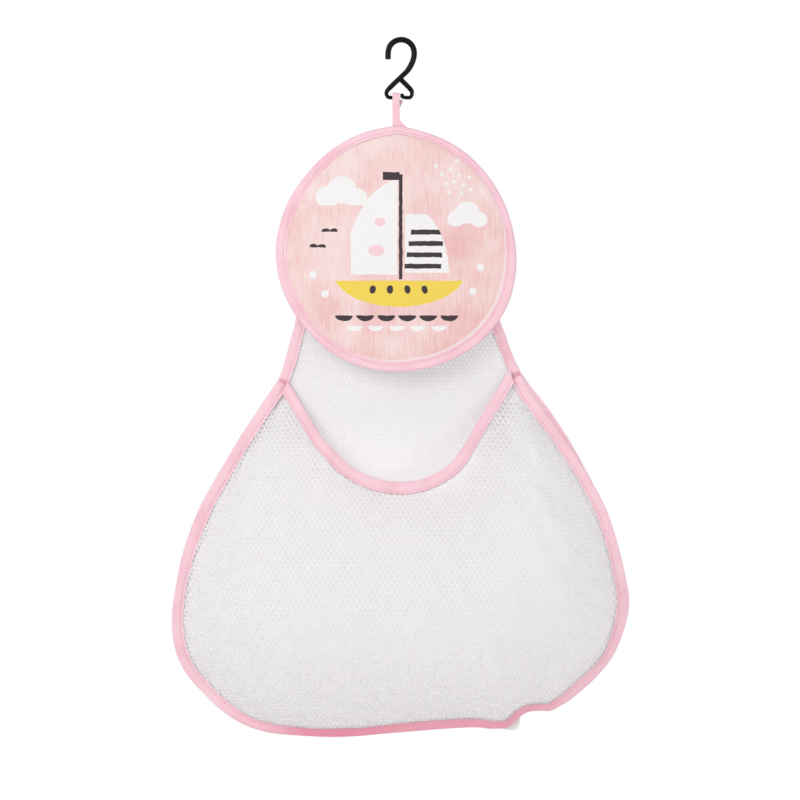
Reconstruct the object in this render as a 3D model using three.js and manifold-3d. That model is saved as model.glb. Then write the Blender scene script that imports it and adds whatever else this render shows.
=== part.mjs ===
// Bath toy organizer: a moulded hook, a ribbon loop, a round padded head and, below it, a net
// pocket with taped edges. Millimetres, +Z up, the front faces -Y and +X is on the viewer's
// right. The origin is the top inside of the hook's crook, where the rod that holds it bears.

import * as THREE from "three";
import { mergeVertices } from "three/addons/utils/BufferGeometryUtils.js";
import Module from "manifold-3d";

const wasm = await Module();
wasm.setup();

// Cloth, tape and thread
const layerGap = 0.3; // air left between two sewn layers
const netThickness = 0.8;
const tapeThickness = 0.6;
const ribbonThickness = 0.8;
const threadThickness = 0.5;
const stitchInset = 1.8; // from a tape's inner edge to its line of stitches
const tackWidth = 2.2; // a bar tack, measured across its stitches

// Hook
const crookRadius = 8.7; // inside the crook
const barWidth = 4.5;
const lipWidth = 2.8; // the bar is thinner where the ribbon sits
const lipDrop = 46.2; // from the crook's top to the middle of the lips
const forkDrop = 28; // to the fork of the two arms
const armSpread = 12.4; // from the hook's middle to the left corner
const rightArmShare = 0.73; // of armSpread, on the short arm's side
const forkSideShare = 0.1; // of armSpread, how far left the short arm begins
const cornerHeight = 7; // from the lips to where an arm begins its bend
const tipRise = 3.4; // how far the right lip turns up
const lipGap = 1.2; // the slot that the ribbon is slipped through
const crookTipDrop = 4.7; // how far the crook's end comes straight down past its middle

// Ribbon loop
const ribbonWidth = 6;
const ribbonSide = -4.3; // its middle, from the hook's middle
const ribbonDrop = 24.6; // from the lips to the head's top edge
const ribbonTail = 7; // sewn behind the head

// Head
const headRadius = 102;
const headSide = -3.8; // its middle, from the hook's middle
const headShapeShares = [-0.021, 0.008, 0.019]; // of the radius, for one, two and three waves
const headTapeWidth = 8;
const printThickness = 0.5;
const foamThickness = 1.5;
const backingThickness = 0.5;

// Neck and pocket
const seamBelowHead = 45.3; // from the head's middle to the seam that holds the pocket
const neckInset = 10; // from the head's edge to the neck's, along that seam
const neckLength = 64;
const neckLean = 17.1; // how far back the pocket hangs, which brings its weight under the hook
const pocketHalfWidth = 193.8;
const pocketHeight = 304;
const neckTapeWidth = 8;
const seamTapeWidth = 10;
const seamLift = 58; // degrees at which the front net leaves the seam
const seamFullnessShare = 0.6; // of the way to the mouth, how far the net is pushed out
const mouthFullnessShare = 0.42;

// Mouth
const mouthTop = 1.2; // from the shoulders down to the mouth's ends
const mouthDrop = 86;
const mouthTapeWidth = 9;
const mouthOpening = 30; // how much further forward its middle stands than its ends
const mouthTilt = 24; // degrees by which its middle leans out
const mouthPower = 1.5; // higher keeps the mouth's ends close to the back net for longer

const bandMargin = 1; // flat net beyond a tape's inner edge

// The nets' holes are drawn larger than they are, so that there are few of them.
const netOpeningsAcross = 12; // in the back net, at the pocket's widest
const netOpeningShare = 0.74; // of the way from one opening in the back net to the next
const netOpeningRows = 5; // in the front net, from the seam to the mouth
const netWebShare = 0.28; // of the way from one of those rows to the next

// The left shoulder round the bottom to the right one: across as a share of pocketHalfWidth,
// and down as a share of pocketHeight. The step near the bottom right is a rumple in the hem.
const pocketShares = [
  [-0.539, 0], [-0.632, 0.089], [-0.755, 0.214], [-0.868, 0.34], [-0.947, 0.465],
  [-0.991, 0.591], [-1.004, 0.674], [-0.993, 0.746], [-0.955, 0.808], [-0.885, 0.864],
  [-0.79, 0.923], [-0.665, 0.971], [-0.509, 0.992], [-0.245, 0.998], [0.084, 0.981],
  [0.303, 0.972], [0.4, 0.976], [0.47, 0.97], [0.53, 0.943], [0.59, 0.926],
  [0.67, 0.922], [0.745, 0.893], [0.872, 0.82], [0.945, 0.752], [0.996, 0.641],
  [0.978, 0.535], [0.908, 0.379], [0.825, 0.272], [0.737, 0.17], [0.649, 0.085],
  [0.526, -0.02],
];

// The mouth's edge: across as a share of pocketHalfWidth, and down as a share of mouthDrop.
const mouthShares = [
  [-0.482, 0.057], [-0.414, 0.26], [-0.34, 0.576], [-0.266, 0.78], [-0.205, 0.905],
  [-0.112, 0.986], [-0.013, 1], [0.099, 0.976], [0.203, 0.862], [0.265, 0.653],
  [0.337, 0.355], [0.441, 0.008],
];
const neckBendShare = 0.63; // of the neck's length, where its side turns a little outwards
const neckBendOut = 1.2;

// The hook's back below the crook: across as a share of the crook's radius at the middle of
// its bar, and down as a share of the way from the crook's middle to the fork.
const hookBackShares = [[0.94, 0.27], [0.75, 0.54], [0.45, 0.8]];

// An arm's corner: across as a share of its spread, and up as a share of cornerHeight.
const cornerShares = [[0.86, 1], [1, 0.51], [0.93, 0.15], [0.76, 0]];
const longTaperShares = [0.78, 0.9]; // of the long bar, where it thins down to its lip
const shortTaperShares = [0.4, 0.62];
const legsMeetShare = 0.75; // of the loop's drop, where its two legs come together
const netRingShares = [0.35, 0.7]; // of the way from the tape to the back net's middle

// How finely curves are drawn
const barSides = 12;
const crookSteps = 26;
const armSteps = 16;
const headSteps = 72;
const seamSteps = 88;
const neckSteps = 12;
const mouthSteps = 40;
const bightSteps = 10;
const curveDivisions = 24;
const netSkips = 2; // steps of the seam left free at each end of the front net
const netClosedSteps = 6; // steps without openings at each end of the front net
const netWebSteps = 1; // steps between two of its openings
const netOpeningSteps = 2; // steps across one of them

// Where each layer lies from front to back
const legsHalf = ribbonThickness + layerGap / 2;
const headRear = -(legsHalf + layerGap);
const backingRear = headRear - tapeThickness - layerGap;
const foamRear = backingRear - backingThickness - layerGap;
const printRear = foamRear - foamThickness - layerGap;
const printFront = printRear - printThickness;
const neckFront = headRear + layerGap;
const backNetFront = neckFront + tapeThickness + layerGap;
const backNetRear = backNetFront + netThickness;
const frontNetRear = backNetFront - layerGap;
const frontNetMiddle = frontNetRear - netThickness / 2;
const frontNetFront = frontNetRear - netThickness;
const edgeInset = tapeThickness + layerGap; // from a tape's fold to the cloth inside it
const mouthEnds = frontNetMiddle - netThickness - 2 * tapeThickness - 3 * layerGap;

// Where the pieces lie from top to bottom
const ribbonRoot = -lipDrop - ribbonDrop;
const headTopShare = headShapeShares.reduce((sum, share) => sum + share, 1);
const headHeight = ribbonRoot - headRadius * headTopShare;
const seamHeight = headHeight - seamBelowHead;

const back = new THREE.Vector3(0, 1, 0);

// A mesh from points and triangles, turned so that its faces point out.
function geometryFrom(points, triangles) {
  let volume = 0;
  for (const [a, b, c] of triangles) {
    volume += points[a].dot(points[b].clone().cross(points[c]));
  }
  const faces = volume < 0 ? triangles.map(([a, b, c]) => [a, c, b]) : triangles;
  const geometry = new THREE.BufferGeometry();
  const places = points.flatMap((point) => point.toArray());
  geometry.setAttribute("position", new THREE.Float32BufferAttribute(places, 3));
  geometry.setIndex(faces.flat());
  return geometry;
}

// A solid through rings of points that lie in the same order. The section is the ring in two
// dimensions and says how the ends are filled. A closed row of rings has no ends.
function loft(rings, section, closed = false) {
  const size = section.length;
  const triangles = [];
  const spans = closed ? rings.length : rings.length - 1;
  for (let i = 0; i < spans; i++) {
    const here = i * size;
    const next = ((i + 1) % rings.length) * size;
    for (let k = 0; k < size; k++) {
      const l = (k + 1) % size;
      triangles.push([here + k, next + k, next + l], [here + k, next + l, here + l]);
    }
  }
  if (!closed) {
    const last = (rings.length - 1) * size;
    const contour = section.map(([a, b]) => new THREE.Vector2(a, b));
    const flipped = THREE.ShapeUtils.isClockWise(contour);
    for (const [a, b, c] of THREE.ShapeUtils.triangulateShape(contour, [])) {
      const cap = flipped ? [a, c, b] : [a, b, c];
      triangles.push(cap, [last + cap[0], last + cap[2], last + cap[1]]);
    }
  }
  return geometryFrom(rings.flat(), triangles);
}

// A sheet of even thickness whose middle surface is a grid of points, in columns of rows. Cells
// of the grid that are open are left out.
function sheet(grid, thickness, isOpen) {
  const columns = grid.length;
  const rows = grid[0].length;
  const at = (i, j) => grid[Math.min(Math.max(i, 0), columns - 1)][Math.min(Math.max(j, 0), rows - 1)];
  const sides = [[], []];
  for (let i = 0; i < columns; i++) {
    for (let j = 0; j < rows; j++) {
      const across = at(i + 1, j).clone().sub(at(i - 1, j));
      const along = at(i, j + 1).clone().sub(at(i, j - 1));
      const half = across.cross(along).normalize().multiplyScalar(thickness / 2);
      sides[0].push(at(i, j).clone().add(half));
      sides[1].push(at(i, j).clone().sub(half));
    }
  }
  const count = columns * rows;
  const triangles = [];
  const quad = (a, b, c, d) => triangles.push([a, b, c], [a, c, d]);
  const isCloth = (i, j) => i >= 0 && j >= 0 && i + 1 < columns && j + 1 < rows && !isOpen(i, j);
  for (let i = 0; i + 1 < columns; i++) {
    for (let j = 0; j + 1 < rows; j++) {
      if (!isCloth(i, j)) continue;
      const a = i * rows + j;
      const b = a + rows;
      quad(a, b, b + 1, a + 1);
      quad(count + a, count + a + 1, count + b + 1, count + b);
      if (!isCloth(i, j - 1)) quad(b, a, count + a, count + b);
      if (!isCloth(i + 1, j)) quad(b + 1, b, count + b, count + b + 1);
      if (!isCloth(i, j + 1)) quad(a + 1, b + 1, count + b + 1, count + a + 1);
      if (!isCloth(i - 1, j)) quad(a, a + 1, count + a + 1, count + a);
    }
  }
  return geometryFrom(sides.flat(), triangles);
}

// A sheet of even thickness from rings of points, the outermost first, down to one point.
function ringedSheet(rings, middle, thickness) {
  const size = rings[0].length;
  const places = [...rings.flat(), middle];
  const count = places.length;
  const half = back.clone().multiplyScalar(thickness / 2);
  const triangles = [];
  const both = (a, b, c) => triangles.push([a, b, c], [count + a, count + c, count + b]);
  for (let k = 0; k < size; k++) {
    const l = (k + 1) % size;
    for (let inner = size; inner < rings.length * size; inner += size) {
      const outer = inner - size;
      both(outer + k, outer + l, inner + l);
      both(outer + k, inner + l, inner + k);
    }
    const last = (rings.length - 1) * size;
    both(last + k, last + l, count - 1);
    triangles.push([l, k, count + k], [l, count + k, count + l]);
  }
  const sides = [
    ...places.map((place) => place.clone().add(half)),
    ...places.map((place) => place.clone().sub(half)),
  ];
  return geometryFrom(sides, triangles);
}

// A flat plate with an outline in the X-Z plane, from its rear face forwards.
function plate(outline, rear, thickness) {
  const shape = new THREE.Shape(outline.map((p) => new THREE.Vector2(p.x, p.z)));
  const geometry = new THREE.ExtrudeGeometry(shape, { depth: thickness, bevelEnabled: false });
  return geometry.rotateX(Math.PI / 2).translate(0, rear, 0);
}

// A smooth curve through places given across and down.
function curveThrough(places) {
  const points = places.map(([x, z]) => new THREE.Vector3(x, 0, z));
  const curve = new THREE.CatmullRomCurve3(points, false, "catmullrom");
  curve.arcLengthDivisions = (places.length - 1) * curveDivisions;
  return curve;
}

// The share of a curve's length at which one of its own points lies.
function shareAtPoint(curve, index) {
  const lengths = curve.getLengths();
  return lengths[index * curveDivisions] / lengths[lengths.length - 1];
}

// Stations along a curve in the X-Z plane: the point, the way in and the way back. The side is
// 1 where the cloth lies to the left of the way along the curve, and -1 where to the right.
function stationsAlong(curve, from, to, count, side = 1) {
  return Array.from({ length: count + 1 }, (_, i) => {
    const share = THREE.MathUtils.lerp(from, to, i / count);
    const along = curve.getTangentAt(share);
    const inward = new THREE.Vector3(-along.z, 0, along.x).multiplyScalar(side);
    return { point: curve.getPointAt(share), inward, rear: back.clone() };
  });
}

const placeAt = (station, inward, rear) =>
  station.point.clone().addScaledVector(station.inward, inward).addScaledVector(station.rear, rear);

const sweep = (stations, section, closed) =>
  loft(stations.map((station) => section.map(([a, b]) => placeAt(station, a, b))), section, closed);

// Tape folded over an edge: the fold is outside, with a leaf on each face of the cloth.
function foldedTape(stations, width, front, rear, closed = false) {
  const t = tapeThickness;
  const section = [
    [width, front - t], [0, front - t], [0, rear + t], [width, rear + t],
    [width, rear], [t, rear], [t, front], [width, front],
  ];
  return sweep(stations, section, closed);
}

// A line of stitches in front of a tape's front leaf.
function seamThread(stations, inward, front, closed = false) {
  const half = threadThickness / 2;
  const rear = front - layerGap;
  const section = [
    [inward - half, rear - threadThickness], [inward + half, rear - threadThickness],
    [inward + half, rear], [inward - half, rear],
  ];
  return sweep(stations, section, closed);
}

// A short dense bar of stitches on a face, from its rear face forwards.
function barTack(width, height, rear) {
  const geometry = new THREE.BoxGeometry(width, threadThickness, height);
  return geometry.translate(0, rear - threadThickness / 2, 0);
}

function manifoldOf(geometry) {
  const bare = new THREE.BufferGeometry();
  bare.setAttribute("position", geometry.getAttribute("position"));
  if (geometry.index) bare.setIndex(geometry.index);
  const merged = mergeVertices(bare);
  return new wasm.Manifold(
    new wasm.Mesh({
      numProp: 3,
      vertProperties: new Float32Array(merged.attributes.position.array),
      triVerts: new Uint32Array(merged.index.array),
    }),
  );
}

function geometryOf(manifold) {
  const mesh = manifold.getMesh();
  const geometry = new THREE.BufferGeometry();
  geometry.setAttribute("position", new THREE.BufferAttribute(mesh.vertProperties, 3));
  geometry.setIndex(new THREE.BufferAttribute(mesh.triVerts, 1));
  return geometry;
}

const blackPlastic = { color: 0x1c1e20, roughness: 0.35, metalness: 0 };
const pinkTape = { color: 0xf4c2d0, roughness: 0.85, metalness: 0 };
const pinkThread = { color: 0xf0aec2, roughness: 0.7, metalness: 0 };
const whiteNet = { color: 0xe4e2e4, roughness: 0.8, metalness: 0 };
const printedCloth = { color: 0xf1d5d2, roughness: 0.7, metalness: 0 };
const whiteCloth = { color: 0xefedec, roughness: 0.85, metalness: 0 };
const whiteFoam = { color: 0xf4f2ec, roughness: 0.95, metalness: 0 };

function named(name, geometry, finish) {
  const mesh = new THREE.Mesh(geometry, new THREE.MeshStandardMaterial(finish));
  mesh.name = name;
  return mesh;
}

// Hook: two round bars that meet at the fork. The long one is the crook, the left arm and its
// lip. The short one is the right arm and its lip, which turns up beside the ribbon.

function roundBar(path, widthAt, steps) {
  const ring = Array.from({ length: barSides }, (_, k) => {
    const angle = (2 * Math.PI * k) / barSides;
    return [Math.cos(angle) / 2, Math.sin(angle) / 2];
  });
  const rings = stationsAlong(path, 0, 1, steps).map((station, i) => {
    const width = widthAt(i / steps);
    return ring.map(([a, b]) => placeAt(station, a * width, b * width));
  });
  return loft(rings, ring);
}

function makeHook() {
  const crookMiddle = crookRadius + barWidth / 2;
  const crook = [[-crookMiddle, -crookRadius - crookTipDrop]];
  for (const degrees of [180, 150, 120, 90, 60, 30, 0]) {
    const angle = THREE.MathUtils.degToRad(degrees);
    crook.push([crookMiddle * Math.cos(angle), crookMiddle * Math.sin(angle) - crookRadius]);
  }
  const backOfHook = hookBackShares.map(([across, down]) => [
    crookMiddle * across,
    -crookRadius - (forkDrop - crookRadius) * down,
  ]);
  const corner = (spread) =>
    cornerShares.map(([across, rise]) => [spread * across, -lipDrop + cornerHeight * rise]);
  const leftLipEnd = ribbonSide + ribbonWidth / 2 - layerGap;
  const tip = leftLipEnd + lipGap + lipWidth / 2;
  const longBar = curveThrough([
    ...crook,
    ...backOfHook,
    [0, -forkDrop],
    ...corner(-armSpread),
    [leftLipEnd, -lipDrop],
  ]);
  const rightCorner = corner(armSpread * rightArmShare);
  const [lipStart] = rightCorner[rightCorner.length - 1];
  const forkSide = -armSpread * forkSideShare;
  const shortBar = curveThrough([
    [forkSide, -forkDrop + forkSide],
    ...rightCorner,
    [(tip + lipStart) / 2, -lipDrop],
    [tip, -lipDrop + lipWidth / 4],
    [tip, -lipDrop + tipRise],
  ]);
  const taper = ([from, to]) => (share) =>
    THREE.MathUtils.lerp(barWidth, lipWidth, THREE.MathUtils.smoothstep(share, from, to));
  const longSolid = manifoldOf(roundBar(longBar, taper(longTaperShares), crookSteps + armSteps));
  const shortSolid = manifoldOf(roundBar(shortBar, taper(shortTaperShares), armSteps));
  return named("hook", geometryOf(longSolid.add(shortSolid)), blackPlastic);
}

// Ribbon loop: it passes over the left lip and both its legs are sewn behind the head.

function loopProfile() {
  const inner = lipWidth / 2 + layerGap;
  const openAt = -lipDrop - inner * 2;
  const closedAt = THREE.MathUtils.lerp(openAt, ribbonRoot, legsMeetShare);
  const side = (offset) => [
    [layerGap / 2 + offset, ribbonRoot - ribbonTail],
    [layerGap / 2 + offset, closedAt],
    [(layerGap / 2 + inner) / 2 + offset, (openAt + closedAt) / 2],
    [inner + offset, openAt],
  ];
  const bight = (radius) =>
    Array.from({ length: bightSteps + 1 }, (_, k) => {
      const angle = (Math.PI * k) / bightSteps;
      return [radius * Math.cos(angle), radius * Math.sin(angle) - lipDrop];
    });
  const face = (offset) => {
    const rear = side(offset);
    const front = rear.map(([y, z]) => [-y, z]).reverse();
    return [...rear, ...bight(inner + offset), ...front];
  };
  return [...face(ribbonThickness), ...face(0).reverse()];
}

function makeLoop() {
  const profile = loopProfile();
  const rings = [-ribbonWidth / 2, ribbonWidth / 2].map((x) =>
    profile.map(([y, z]) => new THREE.Vector3(ribbonSide + x, y, z)),
  );
  return named("hanging_loop", loft(rings, profile), pinkTape);
}

// Head: printed cloth, a foam sheet and backing cloth, bound together with tape. Its outline
// is a circle with a few shallow waves, drawn up a little where the loop pulls on it.

function headPoint(angle, inset = 0) {
  const waves = headShapeShares.reduce((sum, share, k) => sum + share * Math.cos((k + 1) * angle), 1);
  const radius = headRadius * waves - inset;
  return new THREE.Vector3(radius * Math.sin(angle), 0, radius * Math.cos(angle));
}

function headStations() {
  const step = (2 * Math.PI) / headSteps;
  return Array.from({ length: headSteps }, (_, i) => {
    const along = headPoint((i + 1) * step).sub(headPoint((i - 1) * step)).normalize();
    const inward = new THREE.Vector3().crossVectors(back, along);
    return { point: headPoint(i * step), inward, rear: back.clone() };
  });
}

const headOutline = (inset) => headStations().map((station) => placeAt(station, inset, 0));

function makeHead() {
  const stations = headStations();
  const cloth = headOutline(edgeInset);
  const front = printFront - layerGap;
  const rear = backingRear + layerGap;
  const head = new THREE.Group();
  head.add(
    named("head_print", plate(cloth, printRear, printThickness), printedCloth),
    named("head_foam", plate(cloth, foamRear, foamThickness), whiteFoam),
    named("head_backing", plate(cloth, backingRear, backingThickness), whiteCloth),
    named("head_binding", foldedTape(stations, headTapeWidth, front, rear, true), pinkTape),
    named(
      "head_seam_thread",
      seamThread(stations, headTapeWidth - stitchInset, front - tapeThickness, true),
      pinkThread,
    ),
  );
  head.position.set(headSide, 0, headHeight);
  return head;
}

function makeLoopTack() {
  const rear = legsHalf + layerGap + threadThickness;
  const tack = named("loop_tack", barTack(ribbonWidth, tackWidth, rear), pinkThread);
  tack.position.set(ribbonSide, 0, ribbonRoot - ribbonTail / 2);
  return tack;
}

// Neck and pocket: the back net reaches from the seam behind the head to the pocket's bottom.
// The front net is shorter, and its top edge is the mouth. These heights are from the seam.

function pocketEdge() {
  const seamHalf = Math.sqrt(headRadius ** 2 - seamBelowHead ** 2) - neckInset;
  const pocket = pocketShares.map(([across, down]) => [
    across * pocketHalfWidth,
    -neckLength - down * pocketHeight,
  ]);
  const bend = (top, shoulder, out) => [
    THREE.MathUtils.lerp(top[0], shoulder[0], neckBendShare) + out,
    THREE.MathUtils.lerp(top[1], shoulder[1], neckBendShare),
  ];
  const leftTop = [headSide - seamHalf, 0];
  const rightTop = [headSide + seamHalf, 0];
  const places = [
    leftTop,
    bend(leftTop, pocket[0], neckBendOut),
    ...pocket,
    bend(rightTop, pocket[pocket.length - 1], -neckBendOut),
    rightTop,
  ];
  const curve = curveThrough(places);
  return {
    curve,
    leftShoulder: shareAtPoint(curve, 2),
    rightShoulder: shareAtPoint(curve, places.length - 3),
    length: curve.getLength(),
  };
}

const edge = pocketEdge();

// The neck leans back, so that everything below the shoulders hangs further back.
function leanBack(geometry) {
  const places = geometry.getAttribute("position");
  for (let i = 0; i < places.count; i++) {
    const share = THREE.MathUtils.smoothstep(-places.getZ(i), 0, neckLength);
    places.setY(i, places.getY(i) + neckLean * share);
  }
  return geometry;
}

const leaning = (name, geometry, finish) => named(name, leanBack(geometry), finish);

// Whether a place in the X-Z plane lies inside an outline.
function isInside(x, z, outline) {
  let crossings = 0;
  outline.forEach((from, k) => {
    const to = outline[(k + 1) % outline.length];
    const spans = from.z > z !== to.z > z;
    if (spans && x < from.x + ((z - from.z) * (to.x - from.x)) / (to.z - from.z)) crossings += 1;
  });
  return crossings % 2 === 1;
}

// The back net: its edge, a ring at the tapes' inner edge, and rings on towards its middle. It
// leans back with the rest, and its openings are cut straight through it after that.
function backNet() {
  const stations = [
    ...stationsAlong(edge.curve, 0, edge.leftShoulder, neckSteps),
    ...stationsAlong(edge.curve, edge.leftShoulder, edge.rightShoulder, seamSteps).slice(1),
    ...stationsAlong(edge.curve, edge.rightShoulder, 1, neckSteps).slice(1),
  ];
  const { point: left } = stations[0];
  const { point: right } = stations[stations.length - 1];
  for (let i = 1; i < neckSteps; i++) {
    const point = right.clone().lerp(left, i / neckSteps);
    stations.push({ point, inward: new THREE.Vector3(0, 0, -1), rear: back.clone() });
  }
  const depth = backNetFront + netThickness / 2;
  const middle = new THREE.Vector3(0, depth, -(neckLength + pocketHeight) / 2);
  const hem = stations.map((station) => placeAt(station, edgeInset, depth));
  const band = stations.map((station) => placeAt(station, seamTapeWidth + bandMargin, depth));
  const inner = netRingShares.map((share) => band.map((place) => place.clone().lerp(middle, share)));
  const cloth = leanBack(ringedSheet([hem, band, ...inner], middle, netThickness));
  return geometryOf(manifoldOf(cloth).subtract(openingsWithin(band)));
}

// Square bars along Y in rows and columns, as many as fit inside an outline with web to spare.
function openingsWithin(outline) {
  const border = seamTapeWidth + bandMargin;
  const pitch = (2 * (pocketHalfWidth - border)) / netOpeningsAcross;
  const rows = Math.floor((neckLength + pocketHeight) / pitch);
  const size = pitch * netOpeningShare;
  const reach = (size + pitch) / 4; // halfway from a bar's side to the middle of the web
  const corners = [[-1, -1], [-1, 1], [1, 1], [1, -1]];
  const bar = wasm.Manifold.cube([size, 2 * pocketHeight, size], true);
  const bars = [];
  for (let row = 0; row < rows; row++) {
    for (let column = 0; column < netOpeningsAcross; column++) {
      const x = (column - (netOpeningsAcross - 1) / 2) * pitch;
      const z = -border - (row + 1 / 2) * pitch;
      if (corners.every(([a, b]) => isInside(x + a * reach, z + b * reach, outline))) {
        bars.push(bar.translate([x, 0, z]));
      }
    }
  }
  return wasm.Manifold.union(bars);
}

// The mouth's edge stands off the back net, furthest in the middle, and leans out there.
function mouthStation(share) {
  const swell = Math.sin(Math.PI * share);
  const point = mouthCurve.getPointAt(share);
  const along = mouthCurve.getTangentAt(share);
  const inPlane = new THREE.Vector3(along.z, 0, -along.x);
  const tilt = THREE.MathUtils.degToRad(mouthTilt) * swell;
  const inward = inPlane.multiplyScalar(Math.cos(tilt)).addScaledVector(back, -Math.sin(tilt));
  point.y = mouthEnds - mouthOpening * swell ** mouthPower;
  const slope = Math.PI * Math.cos(Math.PI * share) * mouthPower * swell ** (mouthPower - 1);
  const ahead = -mouthOpening * slope;
  const run = along.clone().addScaledVector(back, ahead / mouthLength).normalize();
  inward.addScaledVector(run, -inward.dot(run)).normalize();
  return { point, inward, rear: new THREE.Vector3().crossVectors(run, inward) };
}

const mouthCurve = curveThrough(
  mouthShares.map(([across, down]) => [
    across * pocketHalfWidth,
    -neckLength - mouthTop - down * mouthDrop,
  ]),
);
const mouthLength = mouthCurve.getLength();

const mouthStations = (count) => Array.from({ length: count + 1 }, (_, i) => mouthStation(i / count));

// The front net runs flat out of the seam tape, swells, and runs flat into the mouth tape.
function frontNetGrid() {
  const seam = stationsAlong(edge.curve, edge.leftShoulder, edge.rightShoulder, seamSteps);
  const mouth = mouthStations(seamSteps);
  const lift = THREE.MathUtils.degToRad(seamLift);
  const rowShare = 1 / (netOpeningRows + netWebShare);
  const rowStarts = Array.from({ length: netOpeningRows + 1 }, (_, k) => k * rowShare);
  const shares = rowStarts.flatMap((start) => [start, start + netWebShare * rowShare]);
  return seam.slice(netSkips, -netSkips).map((low, i) => {
    const high = mouth[i + netSkips];
    const from = placeAt(low, seamTapeWidth + bandMargin, frontNetMiddle);
    const to = placeAt(high, mouthTapeWidth + bandMargin, 0);
    const reach = from.distanceTo(to);
    const out = low.inward.clone().multiplyScalar(Math.cos(lift)).addScaledVector(back, -Math.sin(lift));
    const swell = new THREE.CubicBezierCurve3(
      from,
      from.clone().addScaledVector(out, reach * seamFullnessShare),
      to.clone().addScaledVector(high.inward, reach * mouthFullnessShare),
      to,
    );
    const hem = placeAt(low, edgeInset, frontNetMiddle);
    return [hem, ...shares.map((share) => swell.getPoint(share)), placeAt(high, edgeInset, 0)];
  });
}

// The front net: its rows are, in turn, a web and a row of openings, between two closed hems.
function frontNet() {
  const grid = frontNetGrid();
  const steps = grid.length - 1 - 2 * netClosedSteps;
  const isOpenRow = (j) => j % 2 === 0 && j > 0 && j <= 2 * netOpeningRows;
  const isOpenStep = (i) => i >= 0 && i < steps && i % (netWebSteps + netOpeningSteps) >= netWebSteps;
  const cloth = sheet(grid, netThickness, (i, j) => isOpenRow(j) && isOpenStep(i - netClosedSteps));
  return leanBack(cloth);
}

function makePocket() {
  const { curve, leftShoulder, rightShoulder } = edge;
  const neckGap = layerGap / edge.length;
  const seamFront = frontNetFront - layerGap;
  const seamRear = backNetRear + layerGap;
  const seam = stationsAlong(curve, leftShoulder, rightShoulder, seamSteps);
  const leftNeck = stationsAlong(curve, 0, leftShoulder - neckGap, neckSteps);
  const rightNeck = stationsAlong(curve, rightShoulder + neckGap, 1, neckSteps);
  const mouth = mouthStations(mouthSteps);
  const neckFace = neckFront + tapeThickness;
  const tapeFace = seamFront - tapeThickness;
  const netHalf = netThickness / 2 + layerGap;
  const mouthFace = -netHalf - tapeThickness;

  const pocket = new THREE.Group();
  pocket.add(
    named("back_net", backNet(), whiteNet),
    named("front_net", frontNet(), whiteNet),
    leaning("neck_binding_left", foldedTape(leftNeck, neckTapeWidth, neckFace, seamRear), pinkTape),
    leaning("neck_binding_right", foldedTape(rightNeck, neckTapeWidth, neckFace, seamRear), pinkTape),
    leaning("pocket_binding", foldedTape(seam, seamTapeWidth, seamFront, seamRear), pinkTape),
    leaning("mouth_binding", foldedTape(mouth, mouthTapeWidth, -netHalf, netHalf), pinkTape),
    leaning("pocket_seam_thread", seamThread(seam, seamTapeWidth - stitchInset, tapeFace), pinkThread),
    leaning("mouth_seam_thread", seamThread(mouth, mouthTapeWidth - stitchInset, mouthFace), pinkThread),
  );
  for (const [side, share] of [["left", leftShoulder], ["right", rightShoulder]]) {
    const [station] = stationsAlong(curve, share, share, 1);
    const { x, z } = placeAt(station, seamTapeWidth / 2, 0);
    const tack = barTack(seamTapeWidth - 2 * stitchInset, tackWidth, tapeFace - layerGap);
    pocket.add(leaning("shoulder_tack_" + side, tack.translate(x, 0, z), pinkThread));
  }
  pocket.position.set(0, 0, seamHeight);
  return pocket;
}

const organizer = new THREE.Group();
organizer.add(makeHook(), makeLoop(), makeLoopTack(), makeHead(), makePocket());

export default organizer;
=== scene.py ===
# Bath toy organizer, dressed for the camera: a moulded hook, a ribbon loop, a round padded head
# and a net pocket with taped edges. Shapes are worked out in millimetres, in the frame of the
# CAD part: +Z up, the front faces -Y, and the origin is the top inside of the hook's crook.

import math

import bpy
import numpy as np
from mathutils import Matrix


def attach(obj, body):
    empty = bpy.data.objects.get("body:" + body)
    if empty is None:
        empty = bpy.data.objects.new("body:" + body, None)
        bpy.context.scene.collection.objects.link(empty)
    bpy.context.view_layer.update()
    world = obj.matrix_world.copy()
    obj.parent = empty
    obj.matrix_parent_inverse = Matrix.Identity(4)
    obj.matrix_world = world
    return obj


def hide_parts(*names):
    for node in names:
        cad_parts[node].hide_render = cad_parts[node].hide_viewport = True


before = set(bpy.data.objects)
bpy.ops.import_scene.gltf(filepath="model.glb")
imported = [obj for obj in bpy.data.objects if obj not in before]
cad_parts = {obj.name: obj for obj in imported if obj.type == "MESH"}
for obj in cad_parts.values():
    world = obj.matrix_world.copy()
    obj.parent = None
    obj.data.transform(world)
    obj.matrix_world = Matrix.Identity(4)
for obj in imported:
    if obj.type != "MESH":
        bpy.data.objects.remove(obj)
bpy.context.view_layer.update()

# Camera: level with the middle of the bag and 1.6 m in front of it. The long lens makes 0.84 mm
# of the hook and the head one pixel of an 800 pixel square.
camera = bpy.data.objects.new("camera", bpy.data.cameras.new("camera"))
bpy.context.scene.collection.objects.link(camera)
camera.location = (-0.0010, -1.6, -0.3003)
camera.rotation_euler = (math.radians(90), 0, 0)
camera.data.sensor_width = 36
camera.data.lens = 85.7
bpy.context.scene.camera = camera
bpy.context.scene.view_settings.view_transform = "Standard"

# Studio floor: pale matt board under the bag, which hangs clear of it. It keeps the shadow near
# the bag, and further out the camera sees it as white as the backdrop.
FLOOR_HEIGHT = -720
FLOOR_RADIUS = 5000
FLOOR_RINGS = (1e-4, 0.06, 0.1, 1.0)  # shares of its radius
FLOOR_SIDES = 96
FLOOR_KEPT = (0.30, 0.42)  # metres from its middle: all board within, all white beyond
BOARD_COLOUR = "#F2F0EF"


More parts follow.
